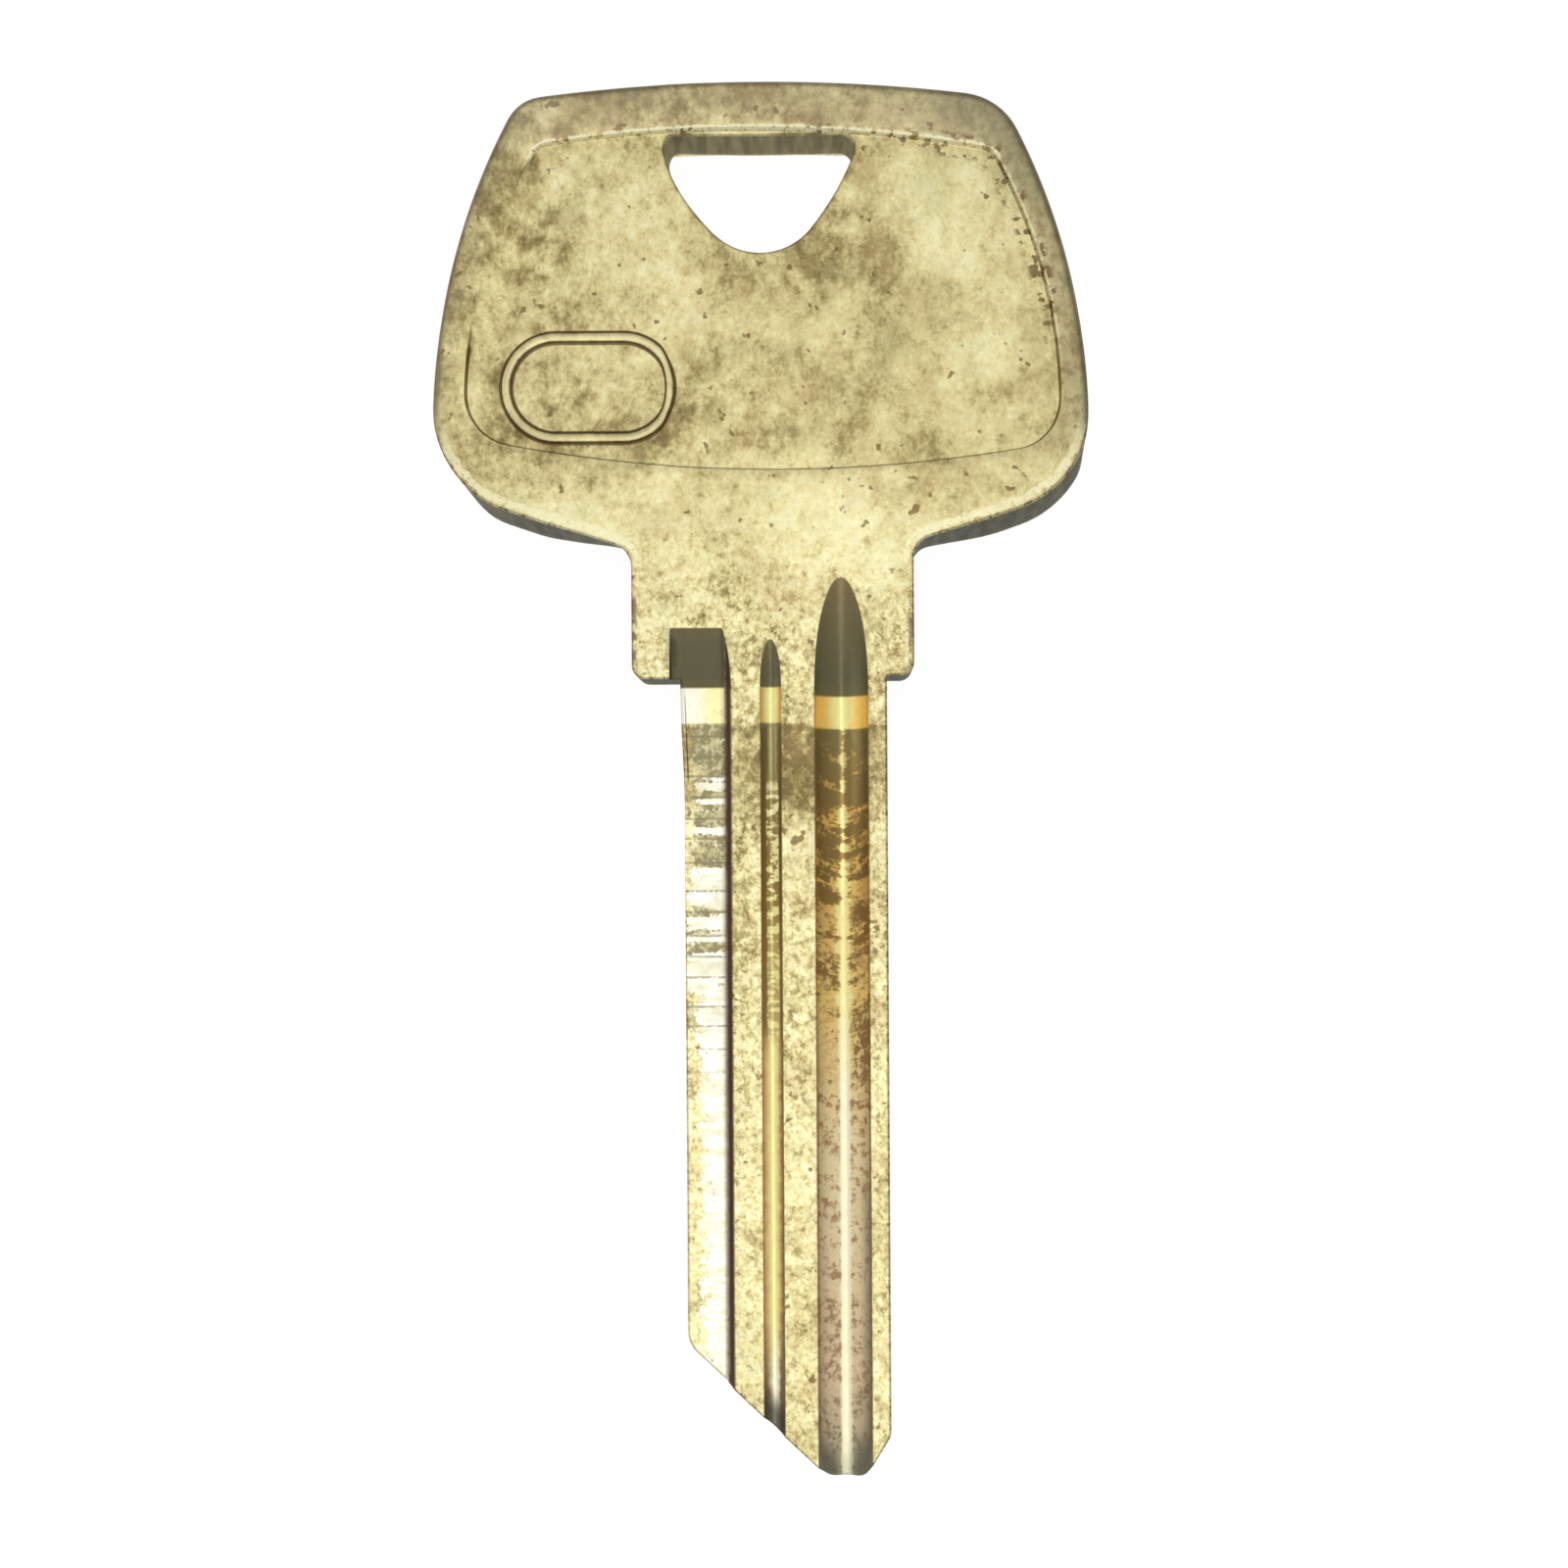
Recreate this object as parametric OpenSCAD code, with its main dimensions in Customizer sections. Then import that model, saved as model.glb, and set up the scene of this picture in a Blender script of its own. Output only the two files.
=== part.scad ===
// Key blank for a pin cylinder: one piece of brass, blanked from strip, coined,
// milled with side wards and tumbled. Millimetres.
// The blade points along -Y, the bow is at +Y, and the back face lies on Z = 0.
// The origin is on the blade's centre line, where the shoulders meet the lock.

/* [Strip] */
// Thickness of the brass strip
thickness = 2.1; // [1.9:0.05:2.4]
// Radius that tumbling leaves on the outer edges
edge_r = 0.3; // [0.2:0.05:0.4]

/* [Bow] */
// Width of the bow where it is widest
bow_w = 27.4; // [26.5:0.1:28.5]
// Height of the crown above the shoulders
bow_top = 25; // [24.6:0.1:25.5]
// How far the bow's centre line lies to the left of the blade's
bow_shift = 0.95; // [0:0.05:1.2]
// Radius of the crown
crown_r = 72; // [60:1:90]
// Radius of the two long sides
side_r = 27; // [25:0.5:30]
// Height of the centre of the side arcs above the shoulders
side_y = 10.8; // [10.4:0.1:11.2]
// Radius of the top left corner
top_left_r = 1.8; // [1.2:0.1:2.2]
// Radius of the top right corner
top_right_r = 2.8; // [2.2:0.1:3.6]
// Radius of the two lower corners
low_corner_r = 4.4; // [4:0.1:4.8]
// Height of the lower corners' centres above the shoulders
low_corner_y = 11.3; // [11:0.1:11.6]
// Rise of the lower edges, in degrees, from the neck outwards
low_edge_rise = 18.5; // [15:0.5:21]

/* [Ring slot] */
// Width of the slot where it is widest
slot_w = 8; // [7.6:0.1:8.2]
// Height of the slot's straight top edge above the shoulders
slot_top = 22.8; // [22.5:0.05:22.9]
// Height of the slot from its lowest point to its top edge
slot_h = 4.96; // [4.6:0.02:5.2]
// Radius of the slot's bottom
slot_bottom_r = 2.75; // [2.5:0.05:2.9]
// Radius of the slot's slanted sides
slot_side_r = 12; // [10:0.5:14]
// Radius of the slot's two top corners
slot_corner_r = 0.6; // [0.4:0.1:0.7]

/* [Coined panel] */
// Depth of the panel that is pressed into each side of the bow
panel_depth = 0.22; // [0.15:0.01:0.3]
// Width of the panel's slanted wall
panel_wall = 0.08; // [0.06:0.01:0.2]
// Width of the panel where it is widest
panel_w = 24.9; // [24:0.1:25.2]
// Height of the middle of the panel's top edge above the shoulders
panel_top = 22.98; // [22.95:0.01:23.2]
// Height of the middle of the panel's lower edge above the shoulders
panel_bottom = 8.7; // [8.4:0.1:9]
// Radius of the panel's top edge
panel_top_r = 58; // [55:1:70]
// Radius of the panel's long sides
panel_side_r = 21.5; // [20.5:0.5:23]
// Radius of the panel's lower edge
panel_bottom_r = 61; // [55:1:70]
// Height of the centre of the panel's side arcs above the shoulders
panel_side_y = 11.3; // [11:0.1:11.6]
// Radius of the panel's top corners
panel_top_corner_r = 0.9; // [0.6:0.1:1.2]
// Radius of the panel's lower corners
panel_low_corner_r = 2.2; // [1.8:0.1:2.6]
// How far the front panel's centre line lies to the right of the bow's
panel_shift = 0.15; // [0:0.05:0.2]
// How far the front panel is turned clockwise, in degrees
panel_turn = 0.75; // [0:0.05:1]

/* [Stamp field] */
// Length of the empty field for a stamp, over its raised rim
field_l = 7.4; // [6:0.1:8]
// Height of the empty field, over its raised rim
field_h = 4.6; // [4:0.1:5]
// Width of the field's raised rim
field_rim = 0.4; // [0.3:0.05:0.5]
// Height of the rim above the panel
field_rise = 0.12; // [0.08:0.01:0.14]
// Place of the field's middle, left of the blade's centre line
field_x = 8.1; // [7.5:0.1:8.3]
// Height of the field's middle above the shoulders
field_y = 12.2; // [12:0.1:13]

/* [Neck] */
// Width of the neck across the two shoulders
neck_w = 11.8; // [11.4:0.1:12.2]
// How far the neck's centre line lies to the left of the blade's
neck_shift = 0.5; // [0.3:0.05:0.6]
// Radius between the neck and the bow
neck_fillet = 1; // [0.8:0.1:1.2]
// Radius of the shoulders' outer corners
shoulder_r = 0.55; // [0.45:0.05:0.7]
// How far the shoulder at the blade's back is set back from the one that stops
set_back = 0.1; // [0.05:0.05:0.2]
// Radius in the corners between the shoulders and the blade
root_r = 0.12; // [0.08:0.02:0.2]

/* [Blade] */
// Height of the blade, from its cutting edge to its back
blade_w = 8.5; // [8.3:0.05:8.7]
// Length of the blade from the shoulders to the nose
blade_l = 33.5; // [31:0.5:36]
// Length along the blade of the long bevel on the cutting edge
long_bevel = 5.65; // [5:0.05:6.2]
// Length along the blade of the short bevel on the back
short_bevel = 1.85; // [1.5:0.05:2.2]
// Distance of the nose's left end from the blade's centre line
nose_left = 1.75; // [1.5:0.05:1.9]
// Distance of the nose's right end from the blade's centre line
nose_right = 3.1; // [3:0.05:3.3]

/* [Front wards] */
// Depth of the step along the cutting edge
step_depth = 0.31; // [0.2:0.01:0.4]
// Distance of the step's floor from the blade's centre line
step_floor_x = 2.6; // [2.3:0.05:2.8]
// Distance of the step's upper edge from the blade's centre line
step_edge_x = 2.26; // [2.1:0.02:2.28]
// Depth of the narrow groove
narrow_depth = 0.2; // [0.15:0.01:0.3]
// Width of the narrow groove at the face
narrow_w = 0.88; // [0.8:0.02:1.1]
// Distance of the narrow groove from the blade's centre line, to the left
narrow_x = 0.61; // [0.5:0.01:0.7]
// Depth of the wide groove
wide_depth = 0.6; // [0.5:0.05:0.7]
// Width of the wide groove at the face
wide_w = 2.26; // [2:0.02:2.4]
// Distance of the wide groove from the blade's centre line, to the right
wide_x = 2.34; // [2.2:0.02:2.4]

/* [Back wards] */
// Depth of the deep groove in the back face
deep_depth = 0.85; // [0.6:0.05:0.95]
// Width of the deep groove's floor
deep_w = 0.9; // [0.7:0.05:1]
// Distance of the deep groove from the blade's centre line, to the right
deep_x = 0.5; // [0.4:0.05:0.6]
// Depth of the shallow groove in the back face
shallow_depth = 0.6; // [0.4:0.05:0.7]
// Width of the shallow groove's floor
shallow_w = 1.1; // [0.9:0.05:1.3]
// Distance of the shallow groove from the blade's centre line, to the left
shallow_x = 2.5; // [2.3:0.05:2.6]

/* [Cutters] */
// Radius of the disc that mills the wide groove and the back grooves
large_cutter_r = 20.8; // [18:0.2:22]
// Radius of the disc that mills the step and the narrow groove
small_cutter_r = 10.5; // [10:0.1:12]

/* [Hidden] */

brass = "#d9cc95";
eps = 0.01;
over = 1;             // how far a cutter stands proud of the face that it cuts
ward_stop = -0.42;    // where the step and the narrow groove reach full depth
wide_stop = -0.78;    // where the wide groove reaches full depth
step_side_x = 4.65;   // outer side of the step's cutter, seen in the shoulder
ward_flare = 0.12;    // slant of a back groove's walls over their whole height
long_bevel_r = 1.2;   // rounding where the long bevel meets the cutting edge
nose_left_r = 0.8;
nose_right_r = 0.6;
short_bevel_r = 0.8;
arc_len = 1.5;        // longest chord on an arc
arc_turn = 15;        // widest angle between two chords
edge_steps = 3;       // facets across a rounded edge
$fn = 64;

bow_half = bow_w / 2;
neck_right = neck_w / 2 - neck_shift + bow_shift;
neck_left = neck_w / 2 + neck_shift - bow_shift;
low_normal = 270 + low_edge_rise;

// Outlines are chains of arcs [centre, radius, first angle, last angle].
// An angle is that of the outward normal, so neighbours share it where they meet,
// and a negative radius is a hollow corner. Straight stretches fill the gaps.

function unit(a) = [cos(a), sin(a)];

// Number of chords along an arc
function chords(r, sweep) =
    max(2, ceil(abs(sweep) / arc_turn), ceil(abs(r * sweep) * PI / 180 / arc_len));

// Points along one arc, drawn in by inset
function arc_points(arc, inset) =
    let (n = chords(arc[1], arc[3] - arc[2]))
    [for (i = [0:n])
        arc[0] + (arc[1] - inset) * unit(arc[2] + (arc[3] - arc[2]) * i / n)];

// Arc of radius r that rounds the corner p between edges with normals a and b
function corner(p, a, b, r) =
    [p - r * (unit(a) + unit(b)) / (1 + cos(b - a)), r, a, b];

// Point at distance d from c and e from f, on the left of the way from c to f
function meet(c, d, f, e) =
    let (v = f - c, l = norm(v), along = (d * d - e * e + l * l) / (2 * l),
         side = sqrt(d * d - along * along))
    c + along * v / l + side * [-v[1], v[0]] / l;

function angle_of(v) = atan2(v[1], v[0]);

// The same arcs on the other side of the Y axis, in turning order
function mirrored(arcs) =
    [for (i = [len(arcs) - 1:-1:0])
        [[-arcs[i][0][0], arcs[i][0][1]], arcs[i][1],
         540 - arcs[i][3], 540 - arcs[i][2]]];

function moved(arcs, x) =
    [for (a = arcs) [a[0] + [x, 0], a[1], a[2], a[3]]];

// Points of a whole outline, with the doubled points between touching arcs dropped
function outline(arcs, inset = 0) =
    let (all = [for (a = arcs) each arc_points(a, inset)], n = len(all))
    [for (i = [0:n - 1]) if (norm(all[i] - all[(i + 1) % n]) > eps / 2) all[i]];

// Right half of the bow and neck, from the shoulder to the crown, with its own
// centre line at x = 0, the side of the neck at x = neck_x, the shoulder at y = stop
// and a top corner of radius top_r
function bow_side(neck_x, stop, top_r) =
    let (
        side_c = [bow_half - side_r, side_y],
        crown_c = [0, bow_top - crown_r],
        low_reach = side_r - low_corner_r,
        low_c = [side_c[0] + sqrt(pow(low_reach, 2) - pow(low_corner_y - side_y, 2)),
                 low_corner_y],
        top_c = meet(side_c, side_r - top_r, crown_c, crown_r - top_r),
        low_turn = 360 + angle_of(low_c - side_c),
        side_turn = 360 + angle_of(top_c - side_c),
        crown_turn = 360 + angle_of(top_c - crown_c),
        edge_d = low_corner_r + low_c * unit(low_normal),
        edge_y = (edge_d - neck_x * cos(low_normal)) / sin(low_normal)
    )
    [
        corner([neck_x, stop], 270, 360, shoulder_r),
        corner([neck_x, edge_y], 360, low_normal, -neck_fillet),
        [low_c, low_corner_r, low_normal, low_turn],
        [side_c, side_r, low_turn, side_turn],
        [top_c, top_r, side_turn, crown_turn],
        [crown_c, crown_r, crown_turn, 450]
    ];

// The blade, from its left root round the nose to its right root
function blade_arcs() =
    let (
        half = blade_w / 2,
        long_n = 270 - atan(long_bevel / (half + nose_left)),
        short_n = 270 + atan(short_bevel / (half - nose_right))
    )
    [
        corner([-half, 0], 270, 180, -root_r),
        corner([-half, long_bevel - blade_l], 180, long_n, long_bevel_r),
        corner([nose_left, -blade_l], long_n, 270, nose_left_r),
        corner([nose_right, -blade_l], 270, short_n, nose_right_r),
        corner([half, short_bevel - blade_l], short_n, 360, short_bevel_r),
        corner([half, set_back], 360, 270, -root_r)
    ];

function key_arcs() = concat(
    blade_arcs(),
    moved(bow_side(neck_right, set_back, top_right_r), -bow_shift),
    moved(mirrored(bow_side(neck_left, 0, top_left_r)), -bow_shift)
);

// Right half of the ring slot, from its lowest point to its top edge
function slot_side() =
    let (
        bottom_c = [0, slot_top - slot_h + slot_bottom_r],
        corner_c = [slot_w / 2 - slot_corner_r, slot_top - slot_corner_r],
        side_c = meet(bottom_c, slot_side_r - slot_bottom_r,
                      corner_c, slot_side_r - slot_corner_r),
        bottom_turn = 360 + angle_of(bottom_c - side_c),
        side_turn = 360 + angle_of(corner_c - side_c)
    )
    [
        [bottom_c, slot_bottom_r, 270, bottom_turn],
        [side_c, slot_side_r, bottom_turn, side_turn],
        [corner_c, slot_corner_r, side_turn, 450]
    ];

// Right half of the coined panel, from the middle of its lower edge to that of its top
function panel_side() =
    let (
        bottom_c = [0, panel_bottom + panel_bottom_r],
        side_c = [panel_w / 2 - panel_side_r, panel_side_y],
        top_c = [0, panel_top - panel_top_r],
        low_c = meet(bottom_c, panel_bottom_r - panel_low_corner_r,
                     side_c, panel_side_r - panel_low_corner_r),
        high_c = meet(side_c, panel_side_r - panel_top_corner_r,
                      top_c, panel_top_r - panel_top_corner_r),
        bottom_turn = 360 + angle_of(low_c - bottom_c),
        low_turn = 360 + angle_of(low_c - side_c),
        side_turn = 360 + angle_of(high_c - side_c),
        top_turn = 360 + angle_of(high_c - top_c)
    )
    [
        [bottom_c, panel_bottom_r, 270, bottom_turn],
        [low_c, panel_low_corner_r, bottom_turn, low_turn],
        [side_c, panel_side_r, low_turn, side_turn],
        [high_c, panel_top_corner_r, side_turn, top_turn],
        [top_c, panel_top_r, top_turn, 450]
    ];

// Both halves of an outline that is symmetric about the bow's centre line
function both_sides(side, shift = 0) =
    moved(concat(side, mirrored(side)), shift - bow_shift);

// Solid with one outline at every height, drawn in by the inset that each level has
// Levels are pairs [inset, height], from the lowest up
module layered(arcs, levels) {
    rings = [for (l = levels) [for (p = outline(arcs, l[0])) [p[0], p[1], l[1]]]];
    n = len(rings[0]);
    top = len(rings) - 1;
    polyhedron(
        [for (ring = rings) each ring],
        [
            [for (i = [0:n - 1]) i],
            for (k = [0:top - 1], i = [0:n - 1])
                [k * n + i, (k + 1) * n + i,
                 (k + 1) * n + (i + 1) % n, k * n + (i + 1) % n],
            [for (i = [n - 1:-1:0]) top * n + i]
        ]
    );
}

// Turns a cutter that works on the front face over onto the back face
module on_back() {
    translate([0, 0, thickness]) mirror([0, 0, 1]) children();
}

// Ring that follows an outline, with a section of pairs [outset, height]
// that turn the same way as the outline does
module ring_along(arcs, section) {
    loops = [for (s = section) [for (p = outline(arcs, -s[0])) [p[0], p[1], s[1]]]];
    n = len(loops[0]);
    m = len(loops);
    polyhedron(
        [for (loop = loops) each loop],
        [for (k = [0:m - 1], i = [0:n - 1])
            [k * n + i, (k + 1) % m * n + i,
             (k + 1) % m * n + (i + 1) % n, k * n + (i + 1) % n]]
    );
}

// Cuts the sharp rim off the front face and leaves it rounded
module tumbled_rim() {
    proud = 0.05;
    round = [for (i = [0:edge_steps])
        let (a = 90 * i / edge_steps)
        [edge_r * (cos(a) - 1), thickness + edge_r * (sin(a) - 1)]];
    low = round[0];
    high = round[edge_steps];
    low_way = low - round[1];
    high_way = high - round[edge_steps - 1];
    ring_along(key_arcs(), concat(
        [low + proud * low_way / norm(low_way)],
        [[2 * proud, thickness + 2 * proud]],
        [high + proud * high_way / norm(high_way)],
        [for (i = [edge_steps - 1:-1:1]) round[i]]
    ));
}

// The blanked strip with its tumbled edges
module blanked_strip() {
    difference() {
        linear_extrude(thickness) polygon(outline(key_arcs()));
        tumbled_rim();
        on_back() tumbled_rim();
    }
}

// Hole for a key ring
module ring_slot() {
    translate([0, 0, -over]) linear_extrude(thickness + 2 * over)
        polygon(outline(both_sides(slot_side())));
}

// Shallow pocket that the coining die presses into a face, turned about its middle
module coined_panel(shift, turn = 0) {
    above = 0.1;
    middle = [shift - bow_shift, (panel_top + panel_bottom) / 2];
    translate(middle) rotate(-turn) translate(-middle)
        layered(both_sides(panel_side(), shift), [
            [panel_wall, thickness - panel_depth],
            [-panel_wall * above / panel_depth, thickness + above]
        ]);
}

module obround(l, h) {
    square([l - h, h], center = true);
    for (side = [-1, 1]) translate([side * (l - h) / 2, 0]) circle(d = h);
}

// Raised rim of the empty stamp field on the front panel
module stamp_field() {
    sunk = 0.05;
    translate([-field_x, field_y, thickness - panel_depth - sunk])
        linear_extrude(field_rise + sunk) difference() {
            obround(field_l, field_h);
            obround(field_l - 2 * field_rim, field_h - 2 * field_rim);
        }
}

// Groove milled along the blade by a disc that lifts out of the shoulders.
// Its child is the cutter's profile: x across the blade, y up from the floor.
module ward(depth, cutter_r, stop_y) {
    lift_out = acos(1 - (depth + over / 4) / cutter_r);
    translate([0, stop_y, thickness - depth]) {
        rotate([90, 0, 0]) linear_extrude(blade_l + stop_y + over) children();
        translate([0, 0, cutter_r]) rotate([0, 90, 0])
            rotate_extrude(angle = lift_out)
                translate([cutter_r, 0]) rotate(90) children();
    }
}

module step_profile() {
    top = step_depth + over;
    slant = (step_floor_x - step_edge_x) / step_depth;
    polygon([
        [-step_side_x, 0], [-step_floor_x, 0],
        [-step_floor_x + slant * top, top], [-step_side_x, top]
    ]);
}

// Round-nosed cutter that is w wide where it meets the face
module round_profile(x, w, depth) {
    r = (w * w / 4 + depth * depth) / (2 * depth);
    translate([x, r]) {
        circle(r);
        translate([-r, 0]) square([2 * r, over]);
    }
}

module trapezoid_profile(x, w, depth) {
    top = depth + over;
    translate([x, 0]) polygon([
        [-w / 2, 0], [w / 2, 0],
        [w / 2 + ward_flare, top], [-w / 2 - ward_flare, top]
    ]);
}

module front_wards() {
    ward(step_depth, small_cutter_r, ward_stop) step_profile();
    ward(narrow_depth, small_cutter_r, ward_stop)
        round_profile(-narrow_x, narrow_w, narrow_depth);
    ward(wide_depth, large_cutter_r, wide_stop)
        round_profile(wide_x, wide_w, wide_depth);
}

module back_wards() {
    on_back() {
        ward(deep_depth, large_cutter_r, wide_stop)
            trapezoid_profile(deep_x, deep_w, deep_depth);
        ward(shallow_depth, large_cutter_r, wide_stop)
            trapezoid_profile(-shallow_x, shallow_w, shallow_depth);
    }
}

module key_blank() {
    color(brass) {
        difference() {
            blanked_strip();
            coined_panel(panel_shift, panel_turn);
            on_back() coined_panel(0);
            ring_slot();
            front_wards();
            back_wards();
        }
        stamp_field();
    }
}

key_blank();
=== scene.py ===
# Finish, studio and camera for the key blank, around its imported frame.
# Outlines and heights are worked out in millimetres and scaled to metres at the end.

import math

import bpy
import numpy as np
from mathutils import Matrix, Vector
from mathutils.geometry import delaunay_2d_cdt


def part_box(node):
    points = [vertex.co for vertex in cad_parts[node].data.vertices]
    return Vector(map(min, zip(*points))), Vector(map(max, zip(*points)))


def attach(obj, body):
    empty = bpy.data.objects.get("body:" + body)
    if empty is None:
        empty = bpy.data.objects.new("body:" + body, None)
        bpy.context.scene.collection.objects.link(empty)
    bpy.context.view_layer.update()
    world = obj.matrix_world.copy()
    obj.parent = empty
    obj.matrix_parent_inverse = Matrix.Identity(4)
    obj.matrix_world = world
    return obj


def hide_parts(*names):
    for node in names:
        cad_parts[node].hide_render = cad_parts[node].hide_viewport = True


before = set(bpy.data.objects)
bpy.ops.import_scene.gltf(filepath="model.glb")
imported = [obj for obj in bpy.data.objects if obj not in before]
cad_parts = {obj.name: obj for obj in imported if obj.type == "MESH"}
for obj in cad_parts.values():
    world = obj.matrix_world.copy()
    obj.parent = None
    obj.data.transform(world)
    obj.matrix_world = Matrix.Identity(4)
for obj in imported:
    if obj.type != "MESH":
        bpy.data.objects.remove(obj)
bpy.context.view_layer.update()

MM = 0.001
NODE = "key_blank"
low, high = (np.array(corner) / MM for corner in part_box(NODE))

# Strip, bow and neck: what the frame's box doesn't give is a named size
thickness = high[2] - low[2]
edge_r = 0.36          # rounding of the rim at the crown
low_edge_r = 0.1       # and at the neck, the blade and the bow's lower edges
bow_w = high[0] - low[0]
bow_top = high[1]
bow_shift = -(high[0] + low[0]) / 2
crown_r = 72
side_r = 27
side_y = 10.8
top_left_r = 1.8
top_right_r = 2.8
low_corner_r = 4.4
low_corner_y = 11.3
low_edge_rise = 18.5
neck_w = 11.8
neck_shift = 0.5
neck_fillet = 1
shoulder_r = 0.55
set_back = 0.1
root_r = 0.12

# Ring slot
slot_w = 8
slot_top = 22.8
slot_h = 4.96
slot_bottom_r = 2.75
slot_side_r = 12
slot_corner_r = 0.6
slot_edge_r = 0.1

# Sheared sides: how far the back's outline lies outside the drawn one
right_flare = 0.5      # at the bow's right lower corner
left_flare = 0.31      # below its left lower corner
front_share = 0.2      # share of both that the front's outline has too
fillet_draft = 0.3     # and how far inside it lies, at the neck's left fillet
slot_draft = 0.15      # how far the slot's back outline lies inside the drawn one
root_lean = 0.16       # how far the blade's left edge bulges beside the shoulder, front and back
bow_middle_y = 17      # height that the flares point away from

# Coined panel
panel_depth = 0.22
panel_wall = 0.06
worn_wall = 1.4        # width of the wall where the die's left upper side is worn
panel_w = 24.9
panel_top = 22.98
panel_bottom = 8.7
panel_top_r = 58
panel_side_r = 21.5
panel_bottom_r = 61
panel_side_y = 11.3
panel_top_corner_r = 0.9
panel_low_corner_r = 2.2
panel_shift = 0.15
panel_turn = 0.75      # how far the front panel is turned clockwise, in degrees

# Empty stamp field
field_l = 7.4
field_h = 4.6
field_rim = 0.4
field_rise = 0.12
field_x = 8.1
field_y = 12.2

# Blade
blade_w = 8.5
blade_l = -low[1]
long_bevel = 5.65
short_bevel = 1.85
nose_left = 1.75
nose_right = 3.1
long_bevel_r = 1.2
nose_left_r = 0.8
nose_right_r = 0.6
short_bevel_r = 0.8

# Wards
step_depth = 0.31
step_floor_x = 2.6
step_edge_x = 2.26
step_side_x = 4.65
narrow_depth = 0.2
narrow_w = 0.88
narrow_x = 0.61
wide_depth = 0.6
wide_w = 2.26
wide_x = 2.34
deep_depth = 0.85
deep_w = 0.9
deep_x = 0.5
shallow_depth = 0.6
shallow_w = 1.1
shallow_x = 2.5
ward_flare = 0.12
ward_stop = -0.42
wide_stop = -0.78
large_cutter_r = 20.8
small_cutter_r = 10.5
ward_line = 0.006      # height that takes a ward's finish from its edge to its inside
milled_edge_r = 0.1    # rounding that is left where a ward runs out over the blank's edge
cutter_over = 1        # height of a back cutter's profile above the face
half_shy = 0.035       # how far a ward's half width falls short of its last line

# Mesh
chord = 0.35           # longest step along an outline
fine_chord = 0.2       # longest step along the ring slot
turn = 10              # widest angle between two steps on an arc, in degrees
row = 0.5              # step along the blade inside a ward
run_out_row = 0.2      # and where the disc lifts out
fill = 0.5             # spacing of the points on open faces
tiny = 1e-6
short = 0.001          # a step that counts as none
weld = 1e-5            # points nearer than this become one
neck_line = 1.0        # wards cross an outline only below this height
bow_line = 8           # the wide rounding of the rim is above this height
wall_levels = 4        # steps down the blank's side
far = 99               # distance that stands for nowhere near

# Unevenness of the faces: height of the waves, and their shortest and longest length
swells = [(0.003, 3, 9), (0.001, 1, 2.5)]
crest = 2.2            # few waves rise over this many heights, so the faces stay under their plane


def unit(angle):
    return np.array([math.cos(math.radians(angle)), math.sin(math.radians(angle))])


def angle_of(v):
    return math.degrees(math.atan2(v[1], v[0]))


# An outline is a chain of arcs (centre, radius, first angle, last angle), where an
# angle is that of the outward normal and a negative radius is a hollow corner.

def rounded_corner(p, a, b, r):
    """Arc of radius r that rounds the corner p between edges with normals a and b."""
    bisector = (unit(a) + unit(b)) / (1 + math.cos(math.radians(b - a)))
    return np.array(p, float) - r * bisector, r, a, b


def meet(c, d, f, e):
    """Point at distance d from c and e from f, on the left of the way from c to f."""
    way = f - c
    length = np.linalg.norm(way)
    along = (d * d - e * e + length * length) / (2 * length)
    aside = math.sqrt(d * d - along * along)
    return c + along * way / length + aside * np.array([-way[1], way[0]]) / length


def chain(first, last, arcs):
    """Touching arcs (centre, radius), from the first outward normal to the last one."""
    turns = [first]
    for (c, r), (d, s) in zip(arcs, arcs[1:]):
        turns.append(360 + angle_of(d - c if r > s else c - d))
    turns.append(last)
    return [(c, r, a, b) for (c, r), a, b in zip(arcs, turns, turns[1:])]


def mirrored(arcs):
    return [(c * (-1, 1), r, 540 - b, 540 - a) for c, r, a, b in reversed(arcs)]


def moved(arcs, x, y=0):
    return [(c + (x, y), r, a, b) for c, r, a, b in arcs]


def bow_side(neck_x, stop, top_r):
    """Right half of the bow and neck, from the shoulder to the crown."""
    low_normal = 270 + low_edge_rise
    side_c = np.array([bow_w / 2 - side_r, side_y])
    crown_c = np.array([0, bow_top - crown_r])
    low_x = math.sqrt((side_r - low_corner_r) ** 2 - (low_corner_y - side_y) ** 2)
    low_c = np.array([side_c[0] + low_x, low_corner_y])
    top_c = meet(side_c, side_r - top_r, crown_c, crown_r - top_r)
    edge_d = low_corner_r + low_c @ unit(low_normal)
    edge_y = (edge_d - neck_x * unit(low_normal)[0]) / unit(low_normal)[1]
    return [
        rounded_corner([neck_x, stop], 270, 360, shoulder_r),
        rounded_corner([neck_x, edge_y], 360, low_normal, -neck_fillet),
        *chain(low_normal, 450, [
            (low_c, low_corner_r), (side_c, side_r), (top_c, top_r), (crown_c, crown_r),
        ]),
    ]


def blade_arcs():
    """The blade, from its left root round the nose to its right root."""
    half = blade_w / 2
    long_n = 270 - math.degrees(math.atan(long_bevel / (half + nose_left)))
    short_n = 270 + math.degrees(math.atan(short_bevel / (half - nose_right)))
    corners = [
        ([-half, 0], 270, 180, -root_r),
        ([-half, long_bevel - blade_l], 180, long_n, long_bevel_r),
        ([nose_left, -blade_l], long_n, 270, nose_left_r),
        ([nose_right, -blade_l], 270, short_n, nose_right_r),
        ([half, short_bevel - blade_l], short_n, 360, short_bevel_r),
        ([half, set_back], 360, 270, -root_r),
    ]
    return [rounded_corner(*corner) for corner in corners]


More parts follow.
